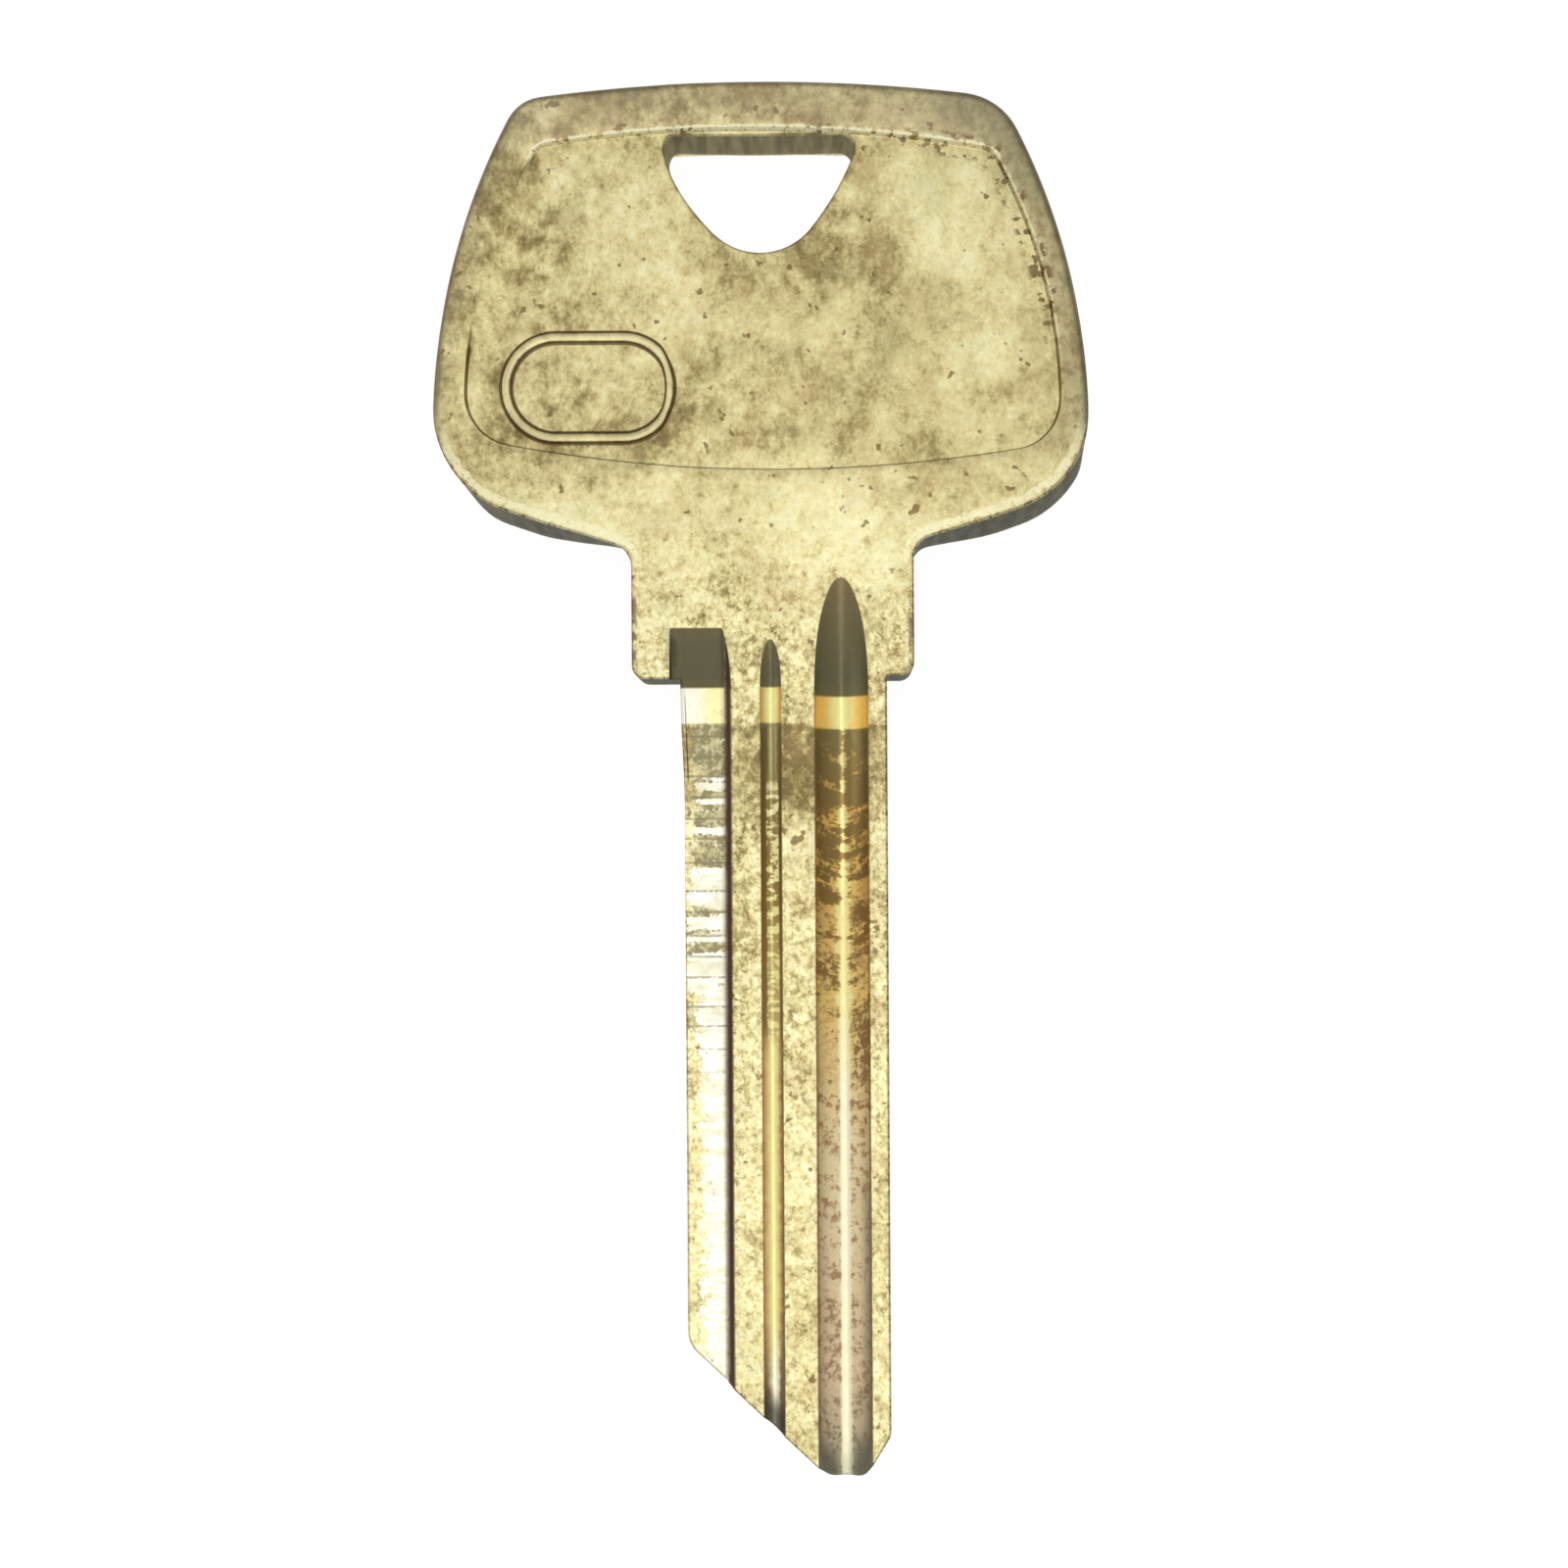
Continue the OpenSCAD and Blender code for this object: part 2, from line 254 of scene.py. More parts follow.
def key_arcs():
    neck_right = neck_w / 2 - neck_shift + bow_shift
    neck_left = neck_w / 2 + neck_shift - bow_shift
    return (
        blade_arcs()
        + moved(bow_side(neck_right, set_back, top_right_r), -bow_shift)
        + moved(mirrored(bow_side(neck_left, 0, top_left_r)), -bow_shift)
    )


def slot_side():
    """Right half of the ring slot, from its lowest point to its top edge."""
    bottom_c = np.array([0, slot_top - slot_h + slot_bottom_r])
    corner_c = np.array([slot_w / 2 - slot_corner_r, slot_top - slot_corner_r])
    side_c = meet(bottom_c, slot_side_r - slot_bottom_r,
                  corner_c, slot_side_r - slot_corner_r)
    return chain(270, 450, [
        (bottom_c, slot_bottom_r), (side_c, slot_side_r), (corner_c, slot_corner_r),
    ])


def panel_side():
    """Right half of the coined panel, from its lower edge to its top edge."""
    bottom_c = np.array([0, panel_bottom + panel_bottom_r])
    side_c = np.array([panel_w / 2 - panel_side_r, panel_side_y])
    top_c = np.array([0, panel_top - panel_top_r])
    low_c = meet(bottom_c, panel_bottom_r - panel_low_corner_r,
                 side_c, panel_side_r - panel_low_corner_r)
    high_c = meet(side_c, panel_side_r - panel_top_corner_r,
                  top_c, panel_top_r - panel_top_corner_r)
    return chain(270, 450, [
        (bottom_c, panel_bottom_r), (low_c, panel_low_corner_r), (side_c, panel_side_r),
        (high_c, panel_top_corner_r), (top_c, panel_top_r),
    ])


def both_sides(side, shift=0.0):
    return moved(side + mirrored(side), shift - bow_shift)


def panel_arcs(shift=0.0, turned=0.0):
    """Outline of the coined panel, turned clockwise about its middle."""
    middle = np.array([shift - bow_shift, (panel_top + panel_bottom) / 2])
    cosine, sine = unit(-turned)
    way = np.array([[cosine, -sine], [sine, cosine]])
    arcs = both_sides(panel_side(), shift)
    return [(middle + way @ (c - middle), r, a - turned, b - turned) for c, r, a, b in arcs]


def obround_arcs(r):
    """Outline at distance r from the middle line of the stamp field."""
    reach = (field_l - field_h) / 2
    ends = [(np.array([s * reach, 0]), r, 360 - s * 90, 540 - s * 90) for s in (1, -1)]
    return moved(ends, -field_x, field_y)


def trace(arcs, inset=0.0, step=chord):
    """Closed loop of points along an outline that is drawn in by inset."""
    ends = []
    for centre, r, a, b in arcs:
        length = abs(math.radians(b - a) * r)
        n = max(2, math.ceil(abs(b - a) / turn), math.ceil(length / step))
        ends += [centre + (r - inset) * unit(a + (b - a) * i / n) for i in range(n + 1)]
    loop = []
    for p, q in zip(ends, ends[1:] + ends[:1]):
        gap = np.linalg.norm(q - p)
        if gap > short:
            n = math.ceil(gap / step)
            loop += [p + (q - p) * i / n for i in range(n)]
    return np.array(loop)


def split_at(loop, lines):
    """The loop with a point of its own wherever one of the ward's lines crosses it."""
    near = 0.02
    points = []
    for p, q in zip(loop, np.roll(loop, -1, axis=0)):
        across = q[0] - p[0]
        crossed = []
        if p[1] < neck_line and abs(across) > short:
            crossed = sorted((x - p[0]) / across for x in lines)
            crossed = [t for t in crossed if 0 <= t < 1]
        if not any(abs(t * across) < near for t in crossed):
            points.append(p)
        points += [p + (q - p) * t for t in crossed]
    keep = [points[-1]]
    for p in points:
        on_line = any(abs(p[0] - x) < tiny for x in lines)
        if np.linalg.norm(p - keep[-1]) > near or on_line:
            if np.linalg.norm(p - keep[-1]) > short:
                keep.append(p)
    return np.array(keep[1:])


def crossing(loop, x):
    """Height at which the line at x leaves the lower end of the blank."""
    p, q = loop, np.roll(loop, -1, axis=0)
    across = q[:, 0] - p[:, 0]
    flat = np.abs(across) > short
    t = np.where(flat, (x - p[:, 0]) / np.where(flat, across, 1), -1)
    hit = (t > -tiny) & (t < 1 + tiny) & (p[:, 1] < neck_line)
    return (p[:, 1] + t * (q[:, 1] - p[:, 1]))[hit].max()


def stretches(loop, kept):
    """The parts of a closed loop where kept holds, as open lines."""
    loop = np.vstack([loop, loop[:1]])
    kept = np.append(kept, kept[0])
    breaks = np.flatnonzero(np.diff(kept.astype(int))) + 1
    parts = zip(np.split(loop, breaks), np.split(kept, breaks))
    return [part for part, inside in parts if inside[0] and len(part) > 1]


def inside_distance(points, loop):
    """Distance of each point from a closed loop, positive inside it."""
    a = loop
    way = np.roll(loop, -1, axis=0) - a
    result = np.empty(len(points))
    batch = 2000
    for start in range(0, len(points), batch):
        p = points[start:start + batch, None, :]
        t = np.clip(((p - a) * way).sum(2) / (way ** 2).sum(1), 0, 1)
        gap = p - a - t[..., None] * way
        distance = np.sqrt((gap ** 2).sum(2).min(1))
        above = a[:, 1] > p[..., 1]
        spans = above != np.roll(above, -1, axis=1)
        slope = way[:, 0] / np.where(way[:, 1] == 0, tiny, way[:, 1])
        right = p[..., 0] < a[:, 0] + slope * (p[..., 1] - a[:, 1])
        inside = (spans & right).sum(1) % 2 == 1
        result[start:start + batch] = np.where(inside, distance, -distance)
    return result


def smooth_min(a, b, k):
    return np.minimum(a, b) - np.maximum(k - np.abs(a - b), 0) ** 2 / (4 * k)


def smooth_max(a, b, k):
    return -smooth_min(-a, -b, k)


def ramp(value, start, end):
    t = np.clip((value - start) / (end - start), 0, 1)
    return t * t * (3 - 2 * t)


def rounding(distance, r):
    """Drop of a face at a distance inside an edge that is rounded with radius r."""
    d = np.clip(distance, 0, r)
    return r - np.sqrt(r * r - (r - d) ** 2)


def waves(p, seed, shortest, longest):
    """Gentle unevenness of about unit height."""
    rng = np.random.default_rng(seed)
    count = 14
    way = rng.uniform(0, 2 * math.pi, count)
    length = rng.uniform(shortest, longest, count)
    phase = rng.uniform(0, 2 * math.pi, count)
    along = p[:, :1] * np.cos(way) + p[:, 1:] * np.sin(way)
    return np.sin(2 * math.pi * along / length + phase).sum(1) / math.sqrt(count)


# Wards

class Ward:
    """Groove along a face, milled by a disc that lifts out of the shoulders."""

    def __init__(self, x, depth, disc_r, stop, rise, lines, soft):
        self.x = x
        self.depth = depth
        self.disc_r = disc_r
        self.stop = stop
        self.rise = rise
        self.lines = [x + u for u in lines]
        self.half = max(lines) - half_shy
        self.soft = soft

    def level(self, p):
        """Height above the face of the surface that the disc leaves."""
        reach = np.maximum(self.disc_r - self.rise(p[:, 0] - self.x), 0)
        run = np.maximum(p[:, 1] - self.stop, 0)
        under = np.maximum(reach ** 2 - run ** 2, 0)
        return self.disc_r - np.sqrt(under) - self.depth

    def edge(self, level):
        """Curve where the ward's surface stands that high above the face."""
        floor = self.disc_r - self.depth - level
        aside, trials, kept = 5, 10001, 31
        u = np.linspace(-aside, aside, trials)
        u = u[self.disc_r - self.rise(u) > floor]
        u = u[0] + (u[-1] - u[0]) * (1 - np.cos(np.linspace(0, math.pi, kept))) / 2
        reach = self.disc_r - self.rise(u)
        y = self.stop + np.sqrt(np.maximum(reach ** 2 - floor ** 2, 0))
        return np.column_stack([self.x + u, y])

    def end_of(self, x):
        """Height at which the ward's surface meets the face on the line at x."""
        floor = self.disc_r - self.depth
        reach = self.disc_r - float(self.rise(np.array([x - self.x]))[0])
        return self.stop + math.sqrt(max(reach ** 2 - floor ** 2, 0))


def ground_rise(w, depth):
    """Section of a round groove: a hand-ground cutter is a little pointed."""
    tip = 0.2

    def rise(u):
        share = np.abs(2 * u / w)
        blunt = (np.hypot(share, tip) - tip) / (math.hypot(1, tip) - tip)
        return depth * (0.82 * blunt ** 1.35 + 0.18 * share ** 6)

    return rise


def step_rise(u):
    """Section of the step: flat floor, slanted wall towards the blade's middle."""
    slant = step_depth / (step_floor_x - step_edge_x)
    side_slope = 10
    wall = slant * (u + step_floor_x)
    side = side_slope * (-step_side_x - u)
    return smooth_max(smooth_max(wall, side, 0.05), 0 * u, 0.08)


def trapezoid_rise(w, depth):
    slope = (depth + cutter_over) / ward_flare
    return lambda u: smooth_max(slope * (np.abs(u) - w / 2), 0 * u, 0.3)


def on_both_sides(lines):
    return sorted({side * u for u in lines for side in (-1, 1)})


def round_lines(w):
    half = w / 2
    inner = [half * share for share in (0, 0.12, 0.3, 0.5, 0.7, 0.85, 0.94)]
    return on_both_sides([*inner, half - 0.03, half, half + 0.03])


def trapezoid_lines(w, depth):
    half = w / 2
    top = half + ward_flare * depth / (depth + cutter_over)
    inner = [0, half / 2, half - 0.03, half, half + 0.02, (half + top) / 2]
    return on_both_sides([*inner, top - 0.02, top, top + 0.03])


step_lines = [
    -step_side_x - 0.05, -step_side_x - 0.025, -step_side_x, -step_side_x + 0.03,
    -4.1, -3.7, -3.3, -2.95,
    -step_floor_x - 0.12, -step_floor_x - 0.05, -step_floor_x, -step_floor_x + 0.05,
    -2.43, -step_edge_x - 0.05, -step_edge_x, -step_edge_x + 0.05,
]

def round_ward(x, w, depth, disc_r, stop, soft):
    return Ward(x, depth, disc_r, stop, ground_rise(w, depth), round_lines(w), soft)


def trapezoid_ward(x, w, depth):
    soft = 0.2
    return Ward(x, depth, large_cutter_r, wide_stop, trapezoid_rise(w, depth),
                trapezoid_lines(w, depth), soft)


front_wards = {
    "step": Ward(0, step_depth, small_cutter_r, ward_stop, step_rise, step_lines, 0.05),
    "narrow": round_ward(-narrow_x, narrow_w, narrow_depth, small_cutter_r, ward_stop, 0.03),
    "wide": round_ward(wide_x, wide_w, wide_depth, large_cutter_r, wide_stop, 0.04),
}
back_wards = {
    "deep": trapezoid_ward(deep_x, deep_w, deep_depth),
    "shallow": trapezoid_ward(-shallow_x, shallow_w, shallow_depth),
}


# Faces of the key

all_lines = sorted({x for w in [*front_wards.values(), *back_wards.values()]
                    for x in w.lines if abs(x) < blade_w / 2 or x < -blade_w / 2 - root_r})
rim_insets = [0, 0.01, 0.03, 0.06, 0.1, 0.16, 0.25]
bow_insets = [edge_r, edge_r + 0.1]
rim_loops = [split_at(trace(key_arcs(), d), all_lines) for d in rim_insets]
slot_angles = np.radians([0, 45, 90])
slot_outsets = [*(slot_edge_r * (1 - np.cos(slot_angles))), slot_edge_r + 0.05]
slot_loops = [trace(both_sides(slot_side()), -d, fine_chord) for d in slot_outsets]
panel_insets = [panel_wall * t for t in (-0.45, -0.1, 0.25, 0.5, 0.75, 1.1, 1.45, 2.5)]
field_edge = 0.05      # half the width of the slopes beside the field's raised rim
outer, slot = rim_loops[0], slot_loops[0]


class Face:
    """One of the two faces: its points, triangles, heights and finish masks."""

    def __init__(self, wards, panel, wave_seed, front_side):
        self.wards = wards
        self.panel = panel
        self.wave_seed = wave_seed
        self.front_side = front_side
        self.points, self.triangles, self.outer_ids, self.slot_ids = self.triangulate()
        self.relief, self.marks = self.shape(self.points)

    def ward_polylines(self):
        from_rim, from_end, last_row = 0.06, 0.05, 0.08
        polylines = []
        for ward in self.wards.values():
            rows = np.arange(-blade_l, ward.stop, row)
            for x in ward.lines:
                if x not in all_lines:
                    continue
                ends = [crossing(loop, x) for loop in rim_loops]
                top = ward.end_of(x)
                inner = np.concatenate([rows, np.arange(ward.stop, top - last_row, run_out_row)])
                inner = inner[(inner > max(ends) + from_rim) & (inner < top - from_end)]
                ys = np.unique(np.round([*ends, *inner, max(top, ward.stop)], 6))
                ys = ys[ys >= min(ends) - tiny]
                exact = np.array([min(ends, key=lambda e: abs(e - y))
                                  if min(abs(e - y) for e in ends) < weld else y
                                  for y in ys])
                polylines.append(np.column_stack([np.full(len(ys), x), exact]))
            for level in (-ward.soft, -ward_line, ward_line, ward.soft):
                polylines.append(ward.edge(level))
        return polylines

    def bow_polylines(self):
        """The rim's wide rounding, and the panel's wall where the slot leaves it."""
        polylines = []
        for d in bow_insets:
            loop = trace(key_arcs(), d)
            polylines += stretches(loop, loop[:, 1] > bow_line)
        clear_of_slot = 0.02
        for d in panel_insets:
            loop = trace(self.panel, d)
            polylines += stretches(loop, inside_distance(loop, slot) < -clear_of_slot)
        return polylines

    def field_loops(self):
        mid = field_h / 2 - field_rim / 2
        half = field_rim / 2
        steps = (half - field_edge, half, half + field_edge, half + 2 * field_edge)
        offsets = [s * d for d in steps for s in (-1, 1)]
        return [trace(obround_arcs(mid + o), 0, 0.25) for o in [0, *offsets]]

    def triangulate(self):
        loops = rim_loops + slot_loops
        if self.front_side:
            loops = loops + self.field_loops()
        lines = self.ward_polylines() + self.bow_polylines()
        taken = np.vstack(loops + lines)
        points = np.vstack([taken, self.fill_points(taken)])
        edges = []
        start = 0
        for loop in loops:
            n = len(loop)
            edges += [(start + i, start + (i + 1) % n) for i in range(n)]
            start += n
        for line in lines:
            edges += [(start + i, start + i + 1) for i in range(len(line) - 1)]
            start += len(line)
        made = delaunay_2d_cdt([Vector(p) for p in points], edges, [], 0, weld)
        flat, triangles, origin = np.array([tuple(p) for p in made[0]]), made[2], made[3]
        place = {source: i for i, sources in enumerate(origin) for source in sources}
        triangles = np.array([t for t in triangles if len(t) == 3])
        middles = flat[triangles].mean(1)
        kept = (inside_distance(middles, outer) > 0) & (inside_distance(middles, slot) < 0)
        triangles = triangles[kept]
        a, b, c = (flat[triangles[:, i]] for i in range(3))
        area = np.cross(b - a, c - a)
        triangles[area < 0] = triangles[area < 0][:, ::-1]
        used, packed = np.unique(triangles, return_inverse=True)
        number = {int(u): i for i, u in enumerate(used)}
        slot_start = sum(len(loop) for loop in rim_loops)
        outer_ids = [number[place[i]] for i in range(len(outer))]
        slot_ids = [number[place[slot_start + i]] for i in range(len(slot))]
        return flat[used], packed.reshape(-1, 3), outer_ids, slot_ids

    def fill_points(self, taken):
        """Points in a honeycomb over the open faces, clear of the lines."""
        rise = fill * math.sqrt(3) / 2
        points = []
        for j, y in enumerate(np.arange(low[1], high[1], rise)):
            xs = np.arange(low[0] + (j % 2) * fill / 2, high[0], fill)
            points.append(np.column_stack([xs, np.full(len(xs), y)]))
        points = np.vstack(points)
        inside = inside_distance(points, outer) > rim_insets[-1]
        inside &= inside_distance(points, slot) < -slot_outsets[-1]
        points = points[inside]
        nearest = np.array([((taken - p) ** 2).sum(1).min() for p in points])
        return points[nearest > (0.5 * fill) ** 2]

    def panel_drop(self, p, panel):
        """How far the coined panel lies below the bow's rim."""
        wall = panel_wall + 0 * panel
        if self.front_side:
            wall += worn_wall * ramp(p[:, 1], 13.5, 16) * ramp(-p[:, 0], 10.2, 11.4)
        t, soft = panel / wall, 0.3
        return panel_depth * smooth_min(smooth_max(t, 0 * t, soft), 1 + 0 * t, soft)

    def shape(self, p):
        """Relief below the strip's plane face, and the measures that the finish reads."""
        rim = inside_distance(p, outer)
        hole = -inside_distance(p, slot)
        panel = inside_distance(p, trace(self.panel))
        face = -self.panel_drop(p, panel)
        field_off = np.full(len(p), float(far))
        if self.front_side:
            reach = (field_l - field_h) / 2
            aside = np.maximum(np.abs(p[:, 0] + field_x) - reach, 0)
            from_middle = np.hypot(aside, p[:, 1] - field_y)
            field_off = np.abs(from_middle - (field_h - field_rim) / 2)
            half = field_rim / 2
            face += field_rise * ramp(-field_off, -half - field_edge, -half + field_edge)
        for k, (height, shortest, longest) in enumerate(swells):
            face += height * (waves(p, self.wave_seed + k, shortest, longest) - crest)
        rim_r = low_edge_r + (edge_r - low_edge_r) * ramp(p[:, 1], 9, 16)
        relief = face - rounding(rim, rim_r) - rounding(hole, slot_edge_r)
        marks = {name: np.zeros(len(p)) for name in ("groove", "step", "ward_wall", "across")}
        for name, ward in self.wards.items():
            level = ward.level(p)
            inside = ramp(-level, -ward_line, ward_line)
            u = p[:, 0] - ward.x
            if name == "step":
                wall = ramp(u, -step_floor_x + 0.02, -step_floor_x + 0.1)
                marks["ward_wall"] = inside * wall
                marks["step"] = inside * (1 - wall)
            else:
                marks["across"] = np.where(inside > 0, u / ward.half, marks["across"])
                marks["groove"] = np.maximum(marks["groove"], inside)
            relief = smooth_min(relief, level - rounding(rim, milled_edge_r), ward.soft)
        marks.update(rim=rim, hole=hole, panel=panel, field=field_off)
        return np.minimum(relief, 0), marks


front = Face(front_wards, panel_arcs(panel_shift, panel_turn), 21, True)
back = Face(back_wards, panel_arcs(), 23, False)


def wall_strip(top_ids, bottom_ids, first, outward):
    """Quads down a side, between the rims of the two faces. Its own levels start at first."""
    n = len(top_ids)
    own = [range(first + k * n, first + (k + 1) * n) for k in range(wall_levels - 1)]
    levels = [top_ids, *own, bottom_ids]
    quads = []
    for upper, lower in zip(levels, levels[1:]):
        for i in range(n):
            j = (i + 1) % n
            quad = (lower[i], lower[j], upper[j], upper[i])
            quads.append(quad if outward else quad[::-1])
    return quads


def wall_points(loop, top_z, bottom_z):
    """The levels of a side between its two rims."""
    shares = [k / wall_levels for k in range(1, wall_levels)]
    return np.vstack([np.column_stack([loop, top_z + (bottom_z - top_z) * s]) for s in shares])


def away_from(x, y, points):
    """Unit vectors that point away from a place."""
    way = points[:, :2] - (x, y)
    return way / (np.linalg.norm(way, axis=1)[:, None] + tiny)


def leaned(points, rim, hole):
    """The sheared sides lean: out at the bow's lower corners, and into the slot."""
    x, y = points[:, 0], points[:, 1]
    down = 1 - points[:, 2] / thickness
    flare = right_flare * ramp(x, 5.4, 9.0)
    flare += left_flare * ramp(-x, 8.2, 10.4) * ramp(x, -14.2, -12.0)
    flare *= front_share + (1 - front_share) * down
    flare -= fillet_draft * ramp(x, -8.9, -7.0) * ramp(-x, 6.2, 6.6) * ramp(y, 4, 5) * down
    flare *= ramp(-y, -11.4, -9.0) * ramp(-rim, -3, -0.3)
    draft = slot_draft * ramp(-hole, -1.2, -0.1) * down
    flat = points[:, :2] + flare[:, None] * away_from(-bow_shift, bow_middle_y, points)
    flat -= draft[:, None] * away_from(-bow_shift, slot_top - slot_h / 2, points)
    flat[:, 0] -= root_lean * ramp(y, -5.5, -0.5) * ramp(-x, 2.6, 4.25) * ramp(x, -5.2, -4.5)
    return np.column_stack([flat, points[:, 2]])


def add(name, data):
    made = bpy.data.objects.new(name, data)
    bpy.context.scene.collection.objects.link(made)
    return made


def build_key():
    top = np.column_stack([front.points, thickness + front.relief])
    bottom = np.column_stack([back.points, -back.relief])
    shift = len(top)
    outer_top, slot_top_ids = front.outer_ids, front.slot_ids
    outer_low = [shift + i for i in back.outer_ids]
    slot_low = [shift + i for i in back.slot_ids]
    both = np.vstack([top, bottom])
    outer_wall = wall_points(outer, both[outer_top, 2], both[outer_low, 2])
    slot_wall = wall_points(slot, both[slot_top_ids, 2], both[slot_low, 2])
    first = len(both)
    second = first + len(outer_wall)
    faces = [tuple(int(i) for i in t) for t in front.triangles]
    faces += [tuple(int(i) + shift for i in t[::-1]) for t in back.triangles]
    faces += wall_strip(outer_top, outer_low, first, True)
    faces += wall_strip(slot_top_ids, slot_low, second, False)

    on_outer, on_slot = np.zeros(len(outer_wall)), np.zeros(len(slot_wall))
    spare = {"rim": (on_outer, on_slot + far), "hole": (on_outer + far, on_slot),
             "field": (on_outer + far, on_slot + far)}
    masks = {}
    for name in front.marks:
        sides = spare.get(name, (on_outer, on_slot))
        masks[name] = np.concatenate([front.marks[name], back.marks[name], *sides])
    wall = np.concatenate([np.zeros(first), on_outer + 1, on_slot + 1])
    wall[outer_top + outer_low + slot_top_ids + slot_low] = 0.5
    masks["wall"] = wall
    masks["back"] = np.concatenate([np.zeros(shift), np.ones(len(bottom)), on_outer, on_slot])
    points = leaned(np.vstack([both, outer_wall, slot_wall]), masks["rim"], masks["hole"])

    mesh = bpy.data.meshes.new("key")
    mesh.from_pydata((points * MM).tolist(), [], faces)
    mesh.shade_smooth()
    for name, values in masks.items():
        mesh.attributes.new(name, "FLOAT", "POINT").data.foreach_set("value", values)
    mesh.validate()
    key = add("key", mesh)
    key.modifiers.new("even_shading", "WEIGHTED_NORMAL")
    return key


# Finishes

def srgb(r, g, b):
    """Colour on the scale of 0 to 255 as the shader's linear one."""
    parts = [c / 255 for c in (r, g, b)]
    linear = [c / 12.92 if c < 0.04045 else ((c + 0.055) / 1.055) ** 2.4 for c in parts]
    return (*linear, 1)


class Value:
    """An output of a node, with the usual signs for sums and products."""

    def __init__(self, g, socket):
        self.g = g
        self.socket = socket

    def __add__(self, other):
        return self.g.math("ADD", self, other)

    def __sub__(self, other):
        return self.g.math("SUBTRACT", self, other)

    def __mul__(self, other):
        return self.g.math("MULTIPLY", self, other)

    __radd__ = __add__


class Graph:
    """The nodes of a material or of the world, and short calls for those it needs.

    A colour is a value, or red, green and blue on the scale of 0 to 255.
    """

    def __init__(self, owner):
        owner.use_nodes = True
        self.owner = owner
        self.tree = owner.node_tree
        self.tree.nodes.clear()

    def node(self, kind, inputs=None, **settings):
        made = self.tree.nodes.new("ShaderNode" + kind)
        for name, value in settings.items():
            setattr(made, name, value)
        for name, value in (inputs or {}).items():
            if isinstance(value, Value):
                self.tree.links.new(value.socket, made.inputs[name])
            else:
                made.inputs[name].default_value = value
        return made

    def take(self, kind, output, inputs=None, **settings):
        """One output of a new node."""
        return Value(self, self.node(kind, inputs, **settings).outputs[output])

    def math(self, operation, a, b=0.0):
        return self.take("Math", 0, {0: a, 1: b}, operation=operation)

    def off(self, value, middle=0.0):
        """How far a value is from a middle, on either side."""
        return self.math("ABSOLUTE", value - middle)

    def swing(self, noise, strength):
        """How far a noise is from its middle, times a strength."""
        return (noise - 0.5) * strength

    def most(self, a, b):
        return self.math("MAXIMUM", a, b)

    def mask(self, name):
        return self.take("Attribute", "Fac", attribute_name=name)

    def stretch(self, vector, by):
        return self.take("VectorMath", 0, {0: vector, 1: by}, operation="MULTIPLY")

    def vector(self, x, y):
        return self.take("CombineXYZ", 0, {"X": x, "Y": y})

    def noise(self, vector, scale, detail=3.0, roughness=0.6, distortion=0.0):
        inputs = {"Vector": vector, "Scale": scale, "Detail": detail,
                  "Roughness": roughness, "Distortion": distortion}
        return self.take("TexNoise", "Fac", inputs)

    def range(self, value, start, end, first=0.0, last=1.0):
        inputs = {"Value": value, "From Min": start, "From Max": end,
                  "To Min": first, "To Max": last}
        return self.take("MapRange", "Result", inputs, interpolation_type="SMOOTHSTEP")

    def between(self, value, low_end, high_end, soft):
        """1 between two limits, with soft ends."""
        return (self.range(value, low_end - soft, low_end + soft)
                * self.range(value, high_end + soft, high_end - soft))

    def line(self, measure, middle, half):
        """1 where a measured distance is near the middle of a thin line."""
        return self.range(self.off(measure, middle), half, half * 0.5)

    def blend(self, factor, a, b):
        a, b = (srgb(*c) if isinstance(c, tuple) else c for c in (a, b))
        return self.take("Mix", 2, {"Factor": factor, 6: a, 7: b}, data_type="RGBA")

    def gradient(self, value, stops):
        """Colours along a value, from the first stop's place to the last one's."""
        first, last = stops[0][0], stops[-1][0]
        share = self.take("MapRange", 0, {"Value": value, "From Min": first, "From Max": last})
        made = self.node("ValToRGB", {"Fac": share})
        elements = made.color_ramp.elements
        while len(elements) < len(stops):
            elements.new(0.5)
        for element, (place, colour) in zip(elements, stops):
            element.position = (place - first) / (last - first)
            element.color = srgb(*colour)
        return Value(self, made.outputs["Color"])

    def finish(self, shader):
        self.node("OutputMaterial", {"Surface": shader})
        return self.owner


class Place:
    """The coordinates, masks and basic patterns that the parts of the finish read."""

    def __init__(self, g):
        self.g = g
        place = g.take("TexCoord", "Object")
        self.mm = g.stretch(place, (1000, 1000, 1000))
        self.x, self.y = (g.take("SeparateXYZ", axis, {0: self.mm}) for axis in "XY")
        self.blotches = g.noise(g.stretch(place, (1150, 850, 1000)), 1.9, 4, 0.65)
        self.grain = g.noise(self.mm, 5.5, 2, 0.6)
        ragged = g.noise(self.mm, 7.0, 1, 0.5)
        cells = g.vector(self.x + ragged * 0.4, self.y - ragged * 0.4)
        self.dots = g.take("TexVoronoi", "Color", {"Vector": cells, "Scale": 6.0})
        self.mottle = g.noise(g.stretch(self.mm, (1.2, 0.9, 1)), 3.0, 3, 0.75, 0.3)
        for name in ("rim", "hole", "panel", "field", "groove", "step", "across", "wall", "back"):
            setattr(self, name, g.mask(name))
        self.on_blade = g.range(self.y, 0.6, -0.6)
        self.grimy = g.range(self.y, -6.5, -4.7) * g.range(self.y, -1.82, -2.08)
        self.late = g.most(g.range(self.x, 0.8, 1.0), self.back)

    def along(self, *ends):
        """A range of the height above the shoulders."""
        return self.g.range(self.y, *ends)


